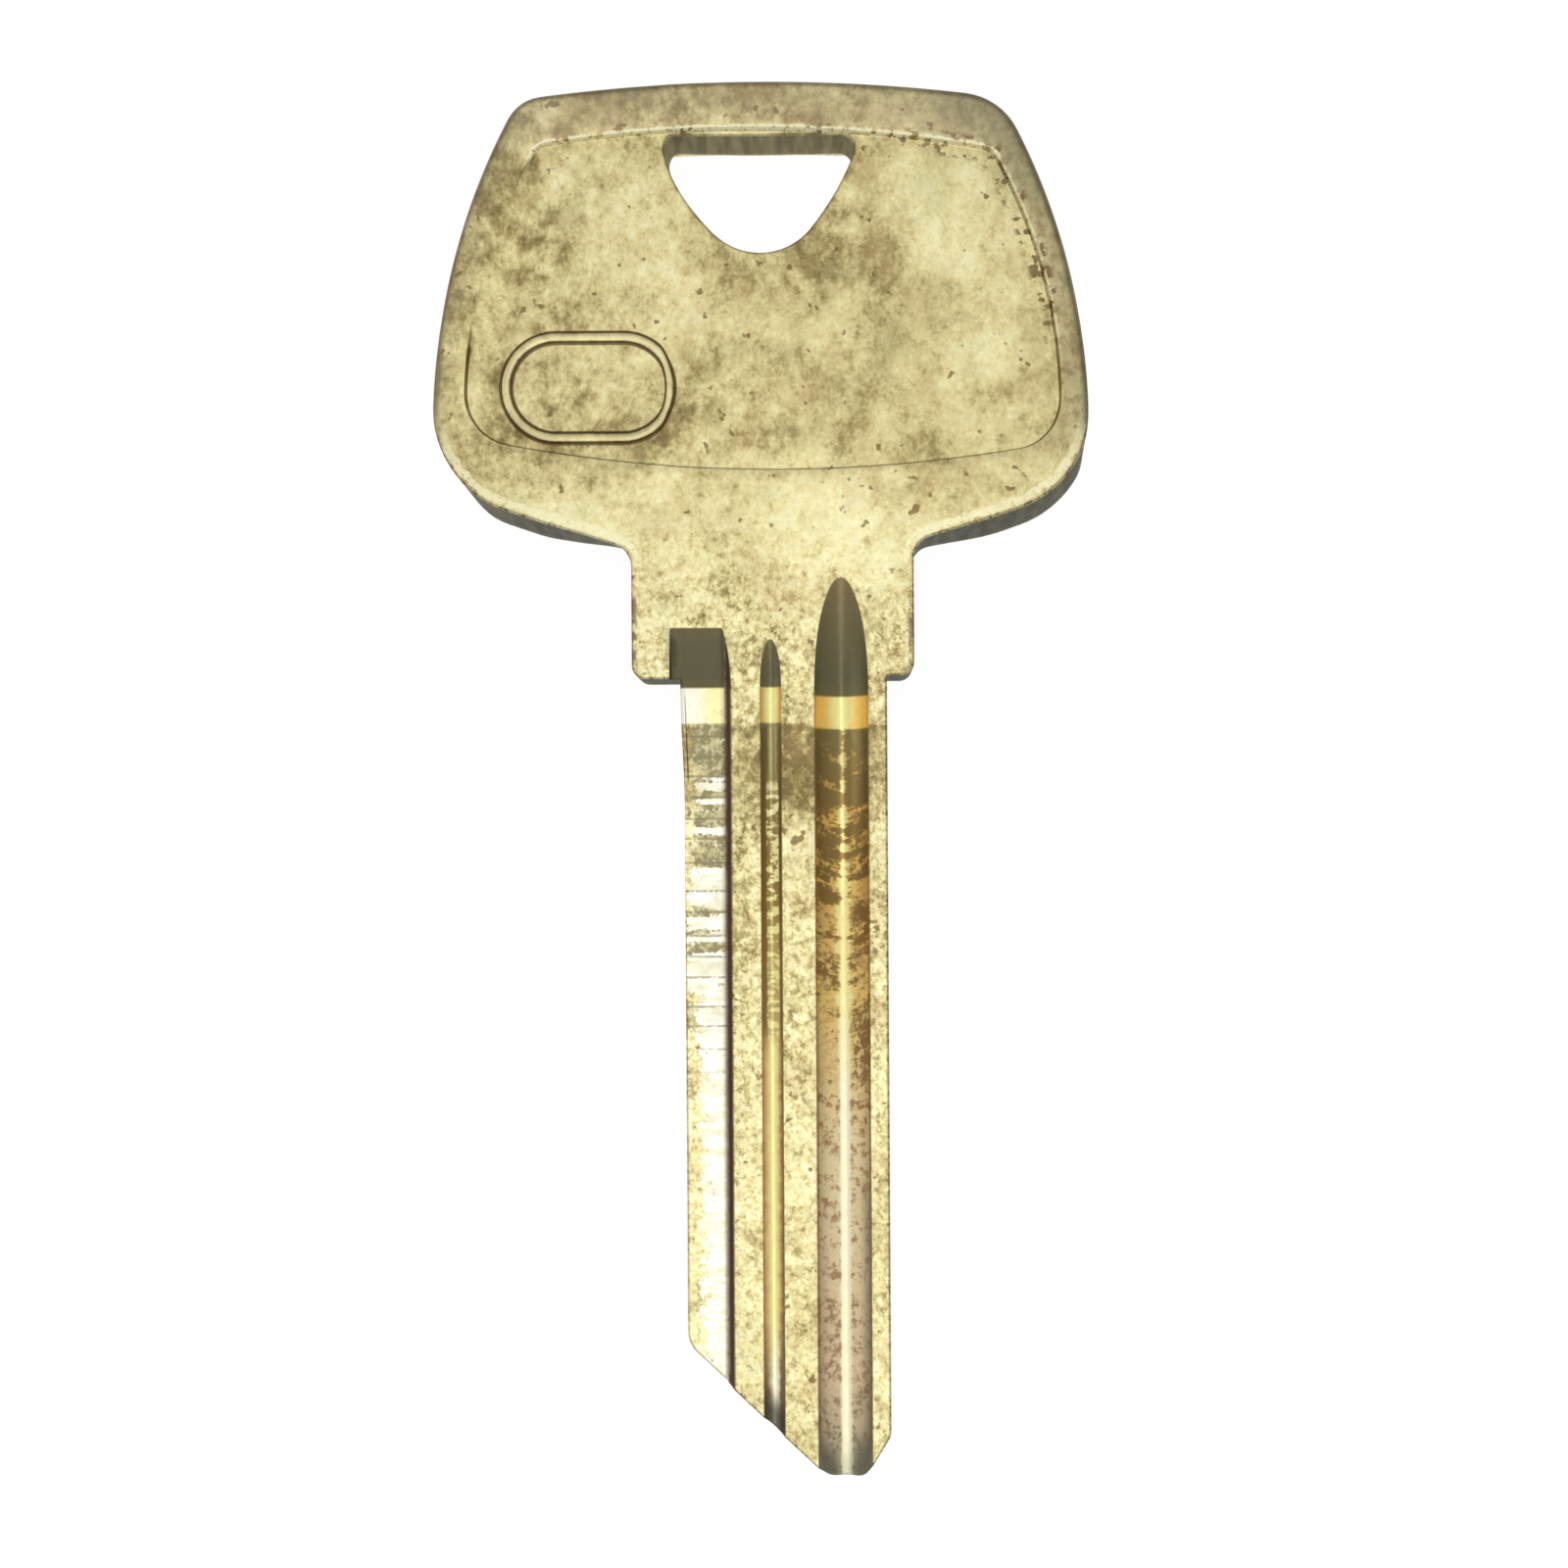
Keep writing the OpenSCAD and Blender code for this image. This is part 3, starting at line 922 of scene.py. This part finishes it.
# Dull and bright patches of the bow: place, half width, half height and shade
stains = [
    (-10.7, 20.4, 2.0, 3.6, -0.17), (2.9, 17.9, 2.6, 2.2, -0.2), (-2.6, 10.9, 2.6, 1.6, -0.13),
    (-8.2, 9.6, 2.6, 1.3, -0.1), (0.2, 23.4, 3.4, 1.1, -0.07), (-8.0, 23.6, 2.4, 1.0, -0.1),
    (-0.3, 14.2, 3.4, 2.2, 0.12), (-6.6, 19.8, 2.2, 2.8, 0.14), (6.2, 19.6, 2.6, 3.2, 0.16),
    (8.6, 11.6, 2.6, 3.2, 0.12), (-1.4, 3.4, 2.8, 1.5, -0.14), (0.5, -4.2, 1.2, 2.8, -0.24),
    (-9.0, 6.6, 3.6, 1.4, 0.12), (-0.4, 23.9, 4.6, 1.0, -0.08),
]


def tarnish(g, at, patches):
    """Shade of the stains, with ragged edges."""
    total = 0.0
    for x, y, half_w, half_h, shade in stains:
        place = g.stretch(g.vector(at.x - x, at.y - y), (1 / half_w, 1 / half_h, 1))
        off = g.take("VectorMath", "Value", {0: place}, operation="LENGTH")
        off += g.swing(patches, 3)
        total += g.range(off, 1.3, 0.35, 0, shade)
    return total


def open_face(g, at):
    """Pale brass with olive clouds, blotches, grain and dark specks, made lighter towards the tip
    by painted light.
    """
    clouds = g.noise(at.mm, 0.17, 3, 0.55, 0.5)
    patches = g.noise(at.mm, 0.55, 4, 0.6, 0.3)
    value = clouds + patches * 0.85 - 0.545
    mottle = g.swing(at.blotches, g.range(at.x, -5, 5, 1.4, 1.15))
    value += mottle + 0.55 + tarnish(g, at, patches)
    value += g.swing(at.grain, at.along(10, 4, 0.4, 0.7)) + 0.3
    # Tone by height: lighter on the neck and blade than on the bow and again near the tip, which
    # is painted light; a touch darker mid-blade and on the middle land
    middle_land = g.range(at.x, -0.5, 0.5) * at.on_blade * -0.07
    heights = (at.along(24.5, 21, 0.01, 0.0) + at.along(10, 6.5, 0, 0.14)
               + at.along(-6, -12, 0, -0.03) + at.along(-24, -28, 0, 0.08) + middle_land)
    value += heights - at.grimy * 0.31
    strength = g.range(at.y + patches * 3, 8.5, 3.0, 0.1, 1.0)
    cells = g.swing(at.dots, 0.45) + g.swing(at.mottle, 1.8)
    strength *= g.range(at.grimy, 0, 1, 1, 0.5) * at.along(-16, -22, 1, 0.65)
    value += cells * strength
    colour = g.gradient(value, [
        (0.72, (126, 110, 70)), (0.98, (169, 152, 102)), (1.18, (208, 194, 139)),
        (1.38, (234, 222, 164)), (1.65, (253, 247, 198)),
    ])
    warmth = g.noise(at.mm, 0.4, 3, 0.6)
    colour = g.blend(g.range(warmth, 0.52, 0.66, 0, 0.25), colour, (200, 170, 122))
    colour = g.blend(g.range(warmth, 0.46, 0.32, 0, 0.25), colour, (200, 198, 144))
    share = at.dots + g.swing(at.mottle, -1.2)
    dot = g.range(share, 0.8, 0.95) * at.along(-0.6, 0.6, 0.45, 0.05) * at.along(-16, -22, 1, 1.4)
    colour = g.blend(dot, colour, (128, 108, 66))
    share = g.noise(at.mm, 1.7, 2, 0.5) + g.swing(patches, 0.35)
    speck = g.range(share, 0.68, 0.74, 0, 0.8)
    return g.blend(speck, colour, (122, 94, 54))


def rims(g, at, colour):
    """Dull rolled rim round the bow's upper part with painted shade in its rounding, a painted
    highlight along the rounded rim below, grime on the neck, and a thin painted shade line at the
    very edge.
    """
    upper = at.along(8.0, 12.0)
    right = g.range(at.x, 3.0, 8.0)
    outside = g.range(at.panel, 0.05, -0.1)
    border = outside * upper * right
    spotted = g.blend(g.range(at.blotches, 0.4, 0.56), (138, 118, 88), (186, 170, 132))
    colour = g.blend(border * 0.6, colour, spotted)
    crown = outside * at.along(21.0, 23.0)
    colour = g.blend(crown * 0.2, colour, (214, 198, 172))
    corner = g.range(at.x, 5.0, 8.0) * at.along(18.0, 21.0)
    reach = g.range(corner, 0, 1, 1.5, 2.4)
    rolled = (g.range(at.rim, reach, 0.2) * upper * g.range(corner, 0, 1, 0.3, 0.9)
              * g.range(at.blotches, 0.36, 0.6, 1.0, 0.6))
    colour = g.blend(rolled, colour, (146, 140, 108))
    # Painted shade in the rounding of the bow's upper rim
    dark = g.range(at.rim, 0.4, 0.12) * upper * 0.7
    colour = g.blend(dark, colour, (112, 98, 76))
    # Painted highlight along the rounded rim of the bow's lower part
    below = at.along(4.6, 5.4) * g.range(upper, 1, 0)
    ragged = at.rim + g.swing(at.blotches, 0.5)
    bright = g.line(ragged, 0.3, 0.22) * below * g.range(at.grain, 0.34, 0.46, 0.4, 0.85)
    colour = g.blend(bright, colour, (252, 245, 200))
    neck = (g.between(at.y, 0.3, 3.4, 0.2) * g.range(at.rim, 0.3, 0.16)
            * g.range(at.blotches, 0.44, 0.52))
    colour = g.blend(neck * 0.8, colour, (126, 104, 84))
    # Painted shade: a thin dark line right at the outer edge
    thin = g.range(at.rim, 0.12, 0.03) * g.range(at.grain, 0.36, 0.5, 0.9, 0.4)
    return g.blend(thin, colour, (92, 74, 56))


def panel_wall_finish(g, at, colour):
    """Painted highlight on the top wall of the coined panel, with rust chips, and painted shade as
    a thin dark line at its other walls.
    """
    top = at.along(21.3, 21.9)
    shown = g.most(g.range(at.x, -11.6, -10.6), at.along(15.5, 14))
    # Painted shade: a thin dark line along the panel's walls, except the top one
    crease_shade = g.line(at.panel, 0.03, 0.06) * g.range(top, 1, 0) * shown
    colour = g.blend(crease_shade * 0.65, colour, (110, 86, 50))
    corner = at.along(12.5, 15.5) * g.range(at.x, 7.0, 9.0)
    ragged = at.panel + g.swing(at.blotches, 0.3)
    # Painted highlight on the top wall and, more faintly, at the right corner
    lit_wall = g.most(top, corner * 0.5) * shown * g.range(at.blotches, 0.4, 0.47)
    lit = g.line(ragged, -0.02, 0.12) * lit_wall * g.range(at.hole, 0.0, 0.05)
    lit *= g.range(at.grain, 0.34, 0.44)
    cells = g.vector(at.x + at.grain * 0.5, at.y + at.blotches * 0.5)
    rust = g.take("TexVoronoi", "Color", {"Vector": cells, "Scale": 3.8})
    chips = g.line(at.panel, 0.12, 0.6) * g.range(rust, 0.69, 0.71)
    chips *= g.most(top * g.range(at.x, 2, 8), corner)
    colour = g.blend(chips * 0.85, colour, (118, 90, 58))
    return g.blend(lit * 0.9, colour, (255, 249, 206)), lit


def field_finish(g, at, colour):
    """Bright raised rim of the empty stamp field, between dark lines."""
    ridge = g.range(at.field, 0.16, 0.1) * 0.55
    colour = g.blend(ridge, colour, (244, 233, 180))
    lines = g.line(at.field, field_rim / 2 + 0.03, 0.1)
    return g.blend(lines * 0.85, colour, (92, 74, 44))


def wide_gold(g, at, side, streaks):
    """Brown and gold marks of the disc, paler towards the tip, which is painted light, with a
    painted highlight down the middle and painted shade on the outer slopes lower down.
    """
    brown = g.gradient(at.y, [
        (-33.5, (136, 130, 102)), (-29, (178, 146, 106)), (-20, (194, 152, 106)),
        (-15.5, (154, 122, 70)), (-11, (152, 118, 64)), (-5.5, (148, 122, 72)),
        (-2, (142, 126, 80)),
    ])
    gold = g.gradient(at.y, [
        (-33.5, (186, 176, 142)), (-29, (248, 220, 178)), (-20, (255, 236, 184)),
        (-14, (255, 218, 132)), (-5.5, (244, 196, 104)), (-2, (156, 136, 82)),
    ])
    share = (streaks + at.along(-3.5, -8.0, -0.09, 0.0) + at.along(-9, -14, 0, 0.04)
             + g.swing(at.grain, 0.3))
    specks = g.swing(at.dots, 0.12) + at.mottle - 0.5
    share += specks * at.along(-11, -17, 0.2, 0.9)
    share -= at.across * g.between(at.y, -17, -14, 0.8) * 0.12
    colour = g.blend(g.range(share, at.along(-13, -19, 0.45, 0.37), 0.57), brown, gold)
    # Painted shade: the outer slopes darker towards the tip
    outer_side_shade = g.range(side, 0.55, 1.0, 0, 0.4) * at.along(-13, -17)
    colour = g.blend(outer_side_shade, colour, (142, 102, 68))
    # Painted highlight down the groove's middle, with a softer glow round it, ragged at the edges
    ragged = g.swing(streaks, at.along(-10, -18, 1.6, 0.3))
    off = g.off(at.across, 0.05)
    middle = off - ragged + at.along(-3, -12, -0.04, -0.2)
    fine = g.noise(g.vector(at.x * 0.9, at.y), 4.5, 3, 0.7, 0.4)
    fine = g.range(fine, 0.45, 0.62) * at.along(-7, -11) * at.along(-20, -13, 0.12, 0.45)
    colour = g.blend(fine, colour, brown)
    highlight_tone = g.gradient(at.y, [
        (-17, (253, 247, 208)), (-13, (254, 244, 168)), (-8, (254, 242, 160)),
        (-3, (206, 184, 126)),
    ])
    highlight_halo = g.range(middle, 0.16, 0.0) * g.between(at.y, -17, -9, 3.0) * 0.5
    colour = g.blend(highlight_halo, colour, (255, 222, 140))
    middle = g.range(middle, 0.04, -0.03)
    polished = g.most(middle * at.along(-3, -12), at.along(-6, -15, 0, 0.7))
    return g.blend(middle * 0.9, colour, highlight_tone), polished


def narrow_gold(g, at, streaks):
    """Olive near the shoulders, then a painted highlight down the middle, broken into painted
    ripple glints, then a painted highlight band with brown sides.
    """
    ripples = g.noise(g.vector(at.x * 0.6, at.y), 2.8, 3, 0.6)
    brown = g.gradient(at.y, [
        (-10, (150, 116, 58)), (-4.6, (128, 104, 56)), (-2, (124, 110, 66)),
    ])
    highlight_yellow = g.gradient(at.y, [
        (-11, (255, 242, 158)), (-4.6, (250, 238, 176)), (-4.2, (156, 146, 96)),
        (-2, (164, 152, 106)),
    ])
    # Painted highlight down the groove's middle; in the rippled stretch, gaps break it into
    # painted glints
    off = g.off(at.across, 0.1)
    rippled = g.between(at.y, -15.4, -4.4, 0.8)
    reach = 0.42 + rippled * 0.16 + g.swing(streaks, 0.4)
    middle = g.range(off - reach, 0.1, -0.1)
    gaps = rippled * g.range(ripples, 0.44, 0.52) * at.along(-9, -12, -0.88, -0.6)
    middle *= gaps + 1.0
    polished = g.most(middle * at.along(-4.2, -4.6), at.along(-8, -13, 0, 0.8))
    # Lower down, a painted highlight band across the middle, whiter near the tip
    place = at.across + g.swing(at.mottle, 0.5) + g.swing(streaks, 0.6)
    strip = g.gradient(place, [
        (-1.0, (200, 152, 90)), (-0.7, (238, 194, 118)), (-0.35, (255, 238, 160)),
        (-0.05, (255, 247, 160)), (0.3, (255, 246, 156)), (0.5, (246, 216, 138)),
        (0.75, (192, 152, 98)), (1.0, (138, 106, 70)),
    ])
    far_strip = g.gradient(place, [
        (-0.7, (150, 116, 78)), (-0.4, (216, 196, 150)), (-0.1, (255, 250, 216)),
        (0.3, (255, 250, 216)), (0.6, (136, 110, 78)),
    ])
    strip = g.blend(at.along(-26, -30), strip, far_strip)
    return g.blend(at.along(-14.2, -16.0), g.blend(middle, brown, highlight_yellow), strip), polished


def groove_finish(g, at):
    """Inside of the grooves: polished by the disc, with painted shade over the run-out and darker
    at the tip end, bright where it bit with a painted highlight down the middle of that band, and
    painted shade along the steep edges.
    """
    side = g.off(at.across)
    bend = at.across * at.across * g.range(at.late, 0, 1, -0.07, -0.45)
    streaks = g.noise(g.vector(at.x * 0.3, at.y + bend), 1.3, 5, 0.72)
    narrow, narrow_lit = narrow_gold(g, at, streaks)
    wide, wide_lit = wide_gold(g, at, side, streaks)
    colour = g.blend(at.late, narrow, wide)
    lit = g.blend(at.late, narrow_lit, wide_lit)
    # Painted shade along the groove's steep edges
    edge = g.range(side, 0.88, 0.97)
    lit = g.most(lit, g.most(edge, at.along(-2.2, -1.9)))
    colour = g.blend(edge * 0.6, colour, (104, 76, 50))
    end = g.range(at.rim, 1.4, 0.4) * at.along(-20.0, -22.0)
    centre = 0.3 + g.range(at.rim, 1.2, 0.8) * g.range(at.late, 1, 0, 0, 0.6)
    end *= g.range(side, 0.1, 0.5, centre, 0.9)
    dark_end = g.blend(at.late, (66, 60, 48), (116, 112, 90))
    colour = g.blend(end, colour, dark_end)
    # Bright where the disc first bit, with a painted highlight down its middle and painted shade
    # at its edges
    reach = side + g.swing(streaks, 0.5)
    flank = g.blend(at.late, (226, 182, 92), (255, 204, 96))
    fresh = g.blend(g.range(reach, g.range(at.late, 0, 1, 0.95, 0.68), 0.1),
                    flank, (255, 252, 166))
    fresh = g.blend(edge * 0.5, fresh, (178, 128, 60))
    return at.banded(colour, fresh), streaks, lit


def step_floor(g, at, face, streaks):
    """Pale floor with darker bands near the shoulders and fine ridges across it."""
    bands = g.noise(g.vector(at.x * 0.08, at.y), 1.3, 2, 0.6)
    white = g.blend(g.range(streaks, 0.42, 0.58), (232, 227, 200), (250, 248, 232))
    grime = at.blotches + g.swing(at.grain, 0.6)
    dark_band = g.blend(g.range(grime, 0.4, 0.6), (142, 134, 100), (204, 194, 150))
    share = (bands + g.swing(at.grain, 0.24) + at.x * 0.03 + 0.1
             + at.along(-2.6, -12.5, -0.15, 0.1) + at.along(-12.5, -15, 0, 0.13))
    colour = g.blend(g.range(share, 0.47, 0.53), dark_band, white)
    left = g.swing(at.blotches, 2.0) + g.swing(at.dots, 0.5) - at.x
    left += at.along(-7.0, -10.0, 0.0, -0.35) + at.along(-12.0, -16.5, 0, 0.65)
    colour = g.blend(g.range(left, 3.7, 3.95), colour, face)
    inputs = {"W": at.y + bands * 0.1, "Scale": 1.05, "Randomness": 0.7}
    gap = g.take("TexVoronoi", "Distance", inputs, voronoi_dimensions="1D",
                 feature="DISTANCE_TO_EDGE")
    ridge = g.range(gap, 0.07, 0.03) * g.range(at.grain, 0.38, 0.5) * at.along(-18, -14, 0.1, 0.65)
    colour = g.blend(ridge, colour, (130, 116, 92))
    fresh = g.blend(g.range(at.x, -3.9, -3.0), (248, 245, 224), (250, 241, 176))
    fresh = g.blend(g.range(grime, 0.42, 0.34, 0, 0.5), fresh, (206, 198, 160))
    return at.banded(colour, fresh)


class Bands:
    """Bands across the wards: painted shade over the disc's sloped run-out, and a brighter band
    where it first cut.
    """

    def __init__(self, g, at):
        self.g = g
        run_out_shade_end = g.range(at.late, 0, 1, -0.37, -0.74)
        fresh_end = g.range(at.late, 0, 1, -1.85, -2.09)
        # Painted shade: the sloped run-out above this height is coloured dark olive
        self.dark_band = g.range(at.y - run_out_shade_end, -0.06, 0.06)
        self.fresh = g.range(at.y - fresh_end, -0.06, 0.06)
        olive = g.gradient(at.y, [
            (-0.8, (108, 100, 60)), (0.1, (88, 86, 64)), (1.5, (88, 84, 63)),
            (3.6, (116, 98, 68)),
        ])
        groove_olive = g.gradient(at.y, [
            (-0.8, (112, 104, 60)), (0.1, (99, 94, 61)), (1.5, (110, 102, 63)),
            (3.6, (130, 113, 70)),
        ])
        olive = g.blend(at.groove, olive, groove_olive)
        self.olive = g.blend(g.range(at.blotches, 0.4, 0.6, 0, 0.3), olive, (112, 102, 76))

    def __call__(self, colour, fresh):
        return self.g.blend(self.dark_band, self.g.blend(self.fresh, colour, fresh), self.olive)


def blank_side(g, at):
    """Sheared metal of the blank's side with faint upright streaks, darkened with painted shade,
    less of it inside the slot.
    """
    upright = g.noise(g.stretch(at.mm, (1, 1, 0.12)), 3.0, 2, 0.5)
    # Painted shade: dark tones on the outer side, lighter ones in the slot
    outside = g.blend(g.range(upright, 0.35, 0.65), (92, 90, 74), (110, 106, 86))
    in_slot = g.blend(g.range(upright, 0.35, 0.65), (128, 122, 92), (160, 150, 112))
    return g.blend(g.range(at.hole, 1.0, 0.5), outside, in_slot)


def brass_finish():
    g = Graph(bpy.data.materials.new("worn_brass"))
    at = Place(g)
    at.banded = Bands(g, at)
    face = open_face(g, at)
    colour = rims(g, at, face)
    colour, lit = panel_wall_finish(g, at, colour)
    colour = field_finish(g, at, colour)
    grooves, streaks, polished = groove_finish(g, at)
    colour = g.blend(at.groove, colour, grooves)
    colour = g.blend(at.step, colour, step_floor(g, at, face, streaks))
    # Painted shade on the step's slanted wall
    colour = g.blend(g.mask("ward_wall"), colour, (104, 78, 70))
    wall = g.range(at.wall, 0.3, 0.7)
    colour = g.blend(wall, colour, blank_side(g, at))

    milled = g.most(at.groove, at.step)
    rough = 0.4 + g.range(at.blotches, 0.4, 0.62, 0, 0.1)
    rough += wall * 0.25 - at.groove * 0.2 - at.step * 0.05
    height = at.blotches * 0.6 + at.grain * 0.4
    height *= g.range(milled, 0, 1, 1, 0.2)
    height += streaks * milled * 0.3
    bump = g.take("Bump", 0, {"Height": height, "Distance": 0.00002, "Strength": 1.0})
    lit = g.most(lit, polished * at.groove)
    metal = g.range(wall, 0, 1, 1, 0.5) * g.range(lit, 0, 1, 1, 0.3)
    return g.finish(g.take("BsdfPrincipled", 0, {
        "Base Color": colour, "Metallic": metal, "Roughness": rough, "Normal": bump,
    }))


# Studio

def softbox(name, place, size, radiance, aim):
    """Flat lamp that looks this bright in a mirror: 1 is white."""
    lamp = bpy.data.lights.new(name, "AREA")
    lamp.shape = "RECTANGLE"
    lamp.size, lamp.size_y = size
    lamp.energy = radiance * math.pi * size[0] * size[1]
    made = add(name, lamp)
    made.location = place
    made.rotation_euler = (Vector(aim) - Vector(place)).to_track_quat("-Z", "Y").to_euler()


def studio_world():
    """Even sky, brighter overhead, and white to the camera."""
    horizon, zenith = 0.32, 0.736
    world = bpy.data.worlds.new("studio")
    g = Graph(world)
    up = g.take("SeparateXYZ", "Z", {0: g.take("TexCoord", "Generated")})
    sky = g.take("MapRange", 0, {"To Min": horizon, "To Max": zenith, "Value": up})
    seen = g.take("LightPath", "Is Camera Ray")
    shown = g.take("Mix", 0, {"Factor": seen, "A": sky, "B": 1.0})
    light = g.take("Background", 0, {"Color": (1, 1, 1, 1), "Strength": shown})
    g.node("OutputWorld", {"Surface": light})
    bpy.context.scene.world = world


def floor_finish():
    g = Graph(bpy.data.materials.new("pale_floor"))
    rays = [g.take("LightPath", kind) for kind in ("Is Camera Ray", "Is Glossy Ray")]
    matt = g.take("BsdfDiffuse", 0, {"Color": (0.92, 0.92, 0.92, 1)})
    white = g.take("Emission", 0, {"Color": (1, 1, 1, 1), "Strength": 1.05})
    return g.finish(g.take("MixShader", 0, {0: g.most(*rays) * 0.9, 1: matt, 2: white}))


def build_floor():
    half = 1.2
    mesh = bpy.data.meshes.new("floor")
    drop = -0.00002
    corners = [(-half, -half, drop), (half, -half, drop), (half, half, drop), (-half, half, drop)]
    mesh.from_pydata(corners, [], [(0, 1, 2, 3)])
    mesh.materials.append(floor_finish())
    add("floor", mesh)


def build_camera():
    """Looks straight down, from over a point a little below the picture's middle."""
    view_w = 65.32         # what the picture's width takes in at the front face
    stand_off = 58         # from the front face
    middle = (-0.09, -4.43)
    shift = (-0.03, 0.05)
    lean = 0.344           # the key leans this much in the picture, in degrees
    data = bpy.data.cameras.new("camera")
    data.sensor_width = 36
    data.lens = data.sensor_width * stand_off / view_w
    data.shift_x, data.shift_y = shift
    data.clip_start = 0.001
    camera = add("camera", data)
    x = (middle[0] - shift[0] * view_w) * MM
    y = (middle[1] - shift[1] * view_w) * MM
    camera.location = (x, y, (thickness + stand_off) * MM)
    camera.rotation_euler = (0, 0, -math.radians(lean))
    bpy.context.scene.camera = camera


key = build_key()
key.data.materials.append(brass_finish())
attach(key, "root")
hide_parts(NODE)

build_floor()
studio_world()
softbox("main_softbox", (0.0, -0.13, 0.30), (0.16, 0.20), 1.2, (0, -0.01, 0))
softbox("strip_softbox", (0.0, 0.07, 0.33), (0.07, 0.20), 1.5, (0, 0.01, 0))
softbox("side_softbox", (-0.30, 0.12, 0.22), (0.2, 0.2), 0.8, (0, 0, 0))
build_camera()
bpy.context.scene.view_settings.view_transform = "Standard"
